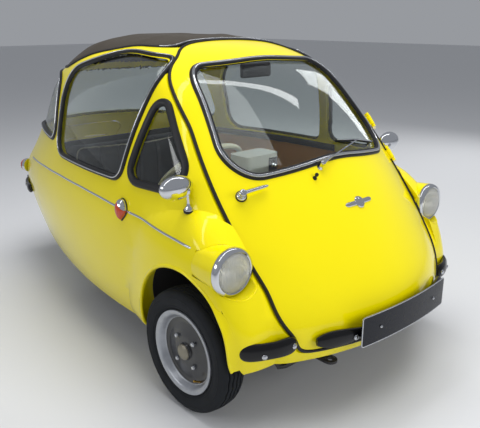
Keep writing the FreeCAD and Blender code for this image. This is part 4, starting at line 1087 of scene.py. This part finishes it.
rim_line = even(roof_rim, 0.012, rounds=4)
edge_bead = strip("fabric_roof_bead", rim_line, half_round(0.012, 0.006, 0.001), seal_rubber)
dress(edge_bead, "tub")
roof_edge = min(point.y for point, normal in rim_line) + 0.06
front_edge = [entry for entry in rim_line if entry[0].y < roof_edge and abs(entry[0].x) < 0.33]
front_edge.sort(key=lambda entry: entry[0].x)
front_strip = strip(
    "fabric_roof_front_strip", even(front_edge, 0.012, False),
    raised(half_round(0.006, 0.003, 0.001), 0.0055), chrome, False)
dress(front_strip, "tub")

# Seats: a bench of foam over springs, a cushion and a back covered in dark vinyl, with sewn
# channels and a pale welt round the top edge.
# Expanded vinyl, blue black, with a leather grain 3 mm across pressed in
seat_vinyl, tree, shader = new_material(
    "grained_vinyl", Base_Color=linear("23252c"), Roughness=0.45, Specular_IOR_Level=0.4)
place = add_node(tree, "ShaderNodeTexCoord")
cells = add_node(tree, "ShaderNodeTexVoronoi", Scale=330.0, Vector=place.outputs["Object"])
bump = add_node(tree, "ShaderNodeBump", Strength=0.3, Distance=0.0006, Height=cells.outputs["Distance"])
tree.links.new(bump.outputs[0], shader.inputs["Normal"])
mottle(tree, place, shader.inputs["Base Color"], 8.0, linear("1e2026"), linear("2b2e37"))
# Pale vinyl welt, slightly soiled
welt_vinyl, tree, shader = new_material("pale_vinyl_welt", Base_Color=linear("c9c4b2"), Roughness=0.5)
place, noise = grain(tree, shader, 400.0, 0.1, 0.0004)
mottle(tree, place, shader.inputs["Base Color"], 20.0, linear("b9b39f"), linear("d4cfbf"))

CHANNEL_PITCH = 0.115
CHANNEL_DEEP = 0.007
CHANNEL_WIDE = 0.007
VOXEL = 0.012
SWELL = 0.014
SWELL_FRAMES = 20


def upholstered(name, node, facing):
    """A pad that fills its space: a rounded block, blown up as cloth, then sewn in channels."""
    low, high = [Vector(corner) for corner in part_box(node)]
    middle = (low + high) / 2
    room = (high - low) / 2 - Vector((SWELL, SWELL, SWELL)) * 0.85
    bpy.ops.object.select_all(action="DESELECT")
    bpy.ops.mesh.primitive_cube_add(size=2, location=middle, scale=room)
    pad = bpy.context.active_object
    pad.name = name
    bpy.ops.object.transform_apply(location=True, rotation=True, scale=True)
    round_off = pad.modifiers.new("round_off", "BEVEL")
    round_off.width = 0.038
    round_off.segments = 4
    remesh = pad.modifiers.new("remesh", "REMESH")
    remesh.mode = "VOXEL"
    remesh.voxel_size = VOXEL
    for modifier in ("round_off", "remesh"):
        bpy.ops.object.modifier_apply(modifier=modifier)
    pad.data.materials.clear()
    pad.data.materials.append(seat_vinyl)
    start = [vertex.co.copy() for vertex in pad.data.vertices]
    swell = pad.modifiers.new("swell", "CLOTH")
    swell.settings.use_pressure = True
    swell.settings.uniform_pressure_force = 4.0
    swell.settings.effector_weights.gravity = 0.0
    for moment in range(1, SWELL_FRAMES + 1):
        bpy.context.scene.frame_set(moment)
    blown = pad.evaluated_get(bpy.context.evaluated_depsgraph_get())
    ends = [vertex.co.copy() for vertex in blown.data.vertices]
    pad.modifiers.remove(swell)
    for vertex, before, after in zip(pad.data.vertices, start, ends):
        move = after - before
        if move.length > SWELL:
            move *= SWELL / move.length
        vertex.co = before + move
    bpy.context.scene.frame_set(1)
    smooth = pad.modifiers.new("smooth", "SUBSURF")
    smooth.levels = 1
    smooth.render_levels = 1
    bpy.ops.object.modifier_apply(modifier="smooth")
    facing = Vector(facing)
    for vertex in pad.data.vertices:
        outside = (vertex.co - middle).dot(facing)
        if outside > 0.4 * abs(room.dot(facing)):
            nearest = (round(vertex.co.x / CHANNEL_PITCH - 0.5) + 0.5) * CHANNEL_PITCH
            depth = CHANNEL_DEEP * math.exp(-((vertex.co.x - nearest) / CHANNEL_WIDE) ** 2)
            vertex.co -= facing * depth
    for polygon in pad.data.polygons:
        polygon.use_smooth = True
    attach(pad, "tub")
    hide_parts(node)
    return pad


def welt(name, pad, ray, middle, reach):
    """A cord of pale vinyl sewn into the pad's upper edge."""
    tree = BVHTree.FromPolygons(
        [vertex.co.copy() for vertex in pad.data.vertices],
        [list(polygon.vertices) for polygon in pad.data.polygons])
    line = []
    for step in range(240):
        angle = 2 * math.pi * step / 240
        low = 0.0
        high = 1.0
        for halving in range(12):
            share = (low + high) / 2
            at = (middle[0] + reach * share * math.cos(angle), middle[1] + reach * share * math.sin(angle))
            if tree.ray_cast(*ray(*at))[0] is None:
                high = share
            else:
                low = share
        share = low - 0.020 / reach
        at = (middle[0] + reach * share * math.cos(angle), middle[1] + reach * share * math.sin(angle))
        point, normal, index, distance = tree.ray_cast(*ray(*at))
        line.append((point, normal))
    cord = strip(name, even(line, 0.010, rounds=4), half_round(0.0075, 0.0045, 0.003), welt_vinyl)
    dress(cord, "tub")


cushion = upholstered("bench_cushion", "seat_cushion", (0, 0, 1))
welt("bench_cushion_welt", cushion, from_above, (0.0, 0.085), 0.7)
back = upholstered("bench_back", "seat_back", (0, -1, 0))
welt("bench_back_welt", back, from_front, (0.0, 0.590), 0.7)

# Linings: panels of hardboard covered in tan leathercloth, clipped to the inside of the door and of
# both sides under the windows, with a black padded roll along their top edge.
# Leathercloth: tan brown, finely grained, worn paler in places
lining_cloth, tree, shader = new_material(
    "tan_leathercloth", Base_Color=linear("cd8a38"), Roughness=0.6, Specular_IOR_Level=0.3)
place, noise = grain(tree, shader, 350.0, 0.25, 0.0006)
mottle(tree, place, shader.inputs["Base Color"], 6.0, linear("c07f30"), linear("d89744"))
LINING_THICK = 0.004
LININGS = [
    # name, node, body, way, first and last place across, first and last height
    ("door_lining", "door_panel", "door", (0, -1, 0), -0.34, 0.34, 0.44, 0.80),
    ("side_lining_left", "side_panel_left", "tub", (1, 0, 0), -0.44, 0.42, 0.40, 0.770),
    ("side_lining_right", "side_panel_right", "tub", (-1, 0, 0), -0.44, 0.42, 0.40, 0.770),
]
for name, node, body, way, first, last, bottom, top in LININGS:
    wall = surface_of(node)
    way = Vector(way)
    columns = 30
    rows = 12
    points = []
    for row in range(rows + 1):
        for column in range(columns + 1):
            across = first + (last - first) * column / columns
            height = bottom + (top - bottom) * row / rows
            start = Vector((across, -0.3, height)) if body == "door" else Vector((0, across, height))
            point, normal, index, distance = wall.ray_cast(start, way)
            points.append(point - way * 0.003)
    faces = []
    for row in range(rows):
        for column in range(columns):
            here = row * (columns + 1) + column
            faces.append((here, here + 1, here + columns + 2, here + columns + 1))
    lining = new_mesh_object(name, points, faces, lining_cloth)
    thicken = lining.modifiers.new("thickness", "SOLIDIFY")
    thicken.thickness = LINING_THICK
    thicken.offset = 0
    bpy.ops.object.select_all(action="DESELECT")
    lining.select_set(True)
    bpy.context.view_layer.objects.active = lining
    bpy.ops.object.modifier_apply(modifier="thickness")
    outwards(lining)
    dress(lining, body)
    top_line = [(point, -way) for point in points[-columns - 1:]]
    roll = strip(name + "_roll", even(top_line, 0.02, False), half_round(0.034, 0.016, 0.001), seal_rubber, False)
    dress(roll, body)

# Driving mirror: a black moulded case on a short stem from the top of the windscreen's frame, with
# its glass towards the driver.
MIRROR_AT = Vector((-0.055, -0.520, 1.192))
bpy.ops.object.select_all(action="DESELECT")
bpy.ops.mesh.primitive_cube_add(size=1, location=MIRROR_AT, scale=(0.165, 0.020, 0.060))
case = bpy.context.active_object
case.name = "driving_mirror_case"
bpy.ops.object.transform_apply(location=True, rotation=True, scale=True)
round_off = case.modifiers.new("round_off", "BEVEL")
round_off.width = 0.0095
round_off.segments = 4
bpy.ops.object.modifier_apply(modifier="round_off")
case.data.materials.append(black_plastic)
outwards(case)
stem_foot = surface_of("door_panel").ray_cast(Vector((-0.055, -0.30, 1.246)), Vector((0, -1, 0)))[0]
stem = spun("driving_mirror_stem", [
    (-0.002, 0.0), (-0.002, 0.012), (0.004, 0.011), (0.008, 0.005), (0.075, 0.004), (0.078, 0.0),
], stem_foot, MIRROR_AT - stem_foot, black_plastic, 20)
for piece in (case, stem):
    dress(piece, "door")
bpy.ops.object.select_all(action="DESELECT")
bpy.ops.mesh.primitive_cube_add(
    size=1, location=MIRROR_AT + Vector((0, 0.0098, 0)), scale=(0.150, 0.0012, 0.047))
glass = bpy.context.active_object
glass.name = "driving_mirror_glass"
bpy.ops.object.transform_apply(location=True, rotation=True, scale=True)
glass.data.materials.append(mirror_glass)
dress(outwards(glass), "door")

# Engine lid fittings: a pressed hood over each cooling slot and a chromed handle at the bottom.
lid_skin = surface_of("engine_lid")
hoods = []
for row in range(5):
    for middle in (-0.105, 0.105):
        height = 0.560 + row * 0.032 + 0.0135
        line = drawn_on(lid_skin, from_back, [(middle - 0.080, height), (middle + 0.080, height)], 0.01)
        hoods.append(strip("hood", line, half_round(0.012, 0.0065, 0.002), enamel, False, taper=0.014))
dress(joined(hoods, "engine_lid_hoods"), "engine_lid")
point, normal, index, distance = lid_skin.ray_cast(*from_back(0.0, 0.532))
knob = spun("engine_lid_handle", [
    (-0.003, 0.0), (-0.003, 0.018), (0.0015, 0.018), (0.0030, 0.015), (0.0035, 0.0),
], point, normal, chrome, 32)
dress(knob, "engine_lid")
bar = spun("engine_lid_grip", [
    (-0.026, 0.0), (-0.025, 0.0020), (-0.018, 0.0028), (0.0, 0.0032), (0.018, 0.0028), (0.025, 0.0020),
    (0.026, 0.0),
], point + normal * 0.0050, (1, 0, 0), chrome, 24)
dress(bar, "engine_lid")
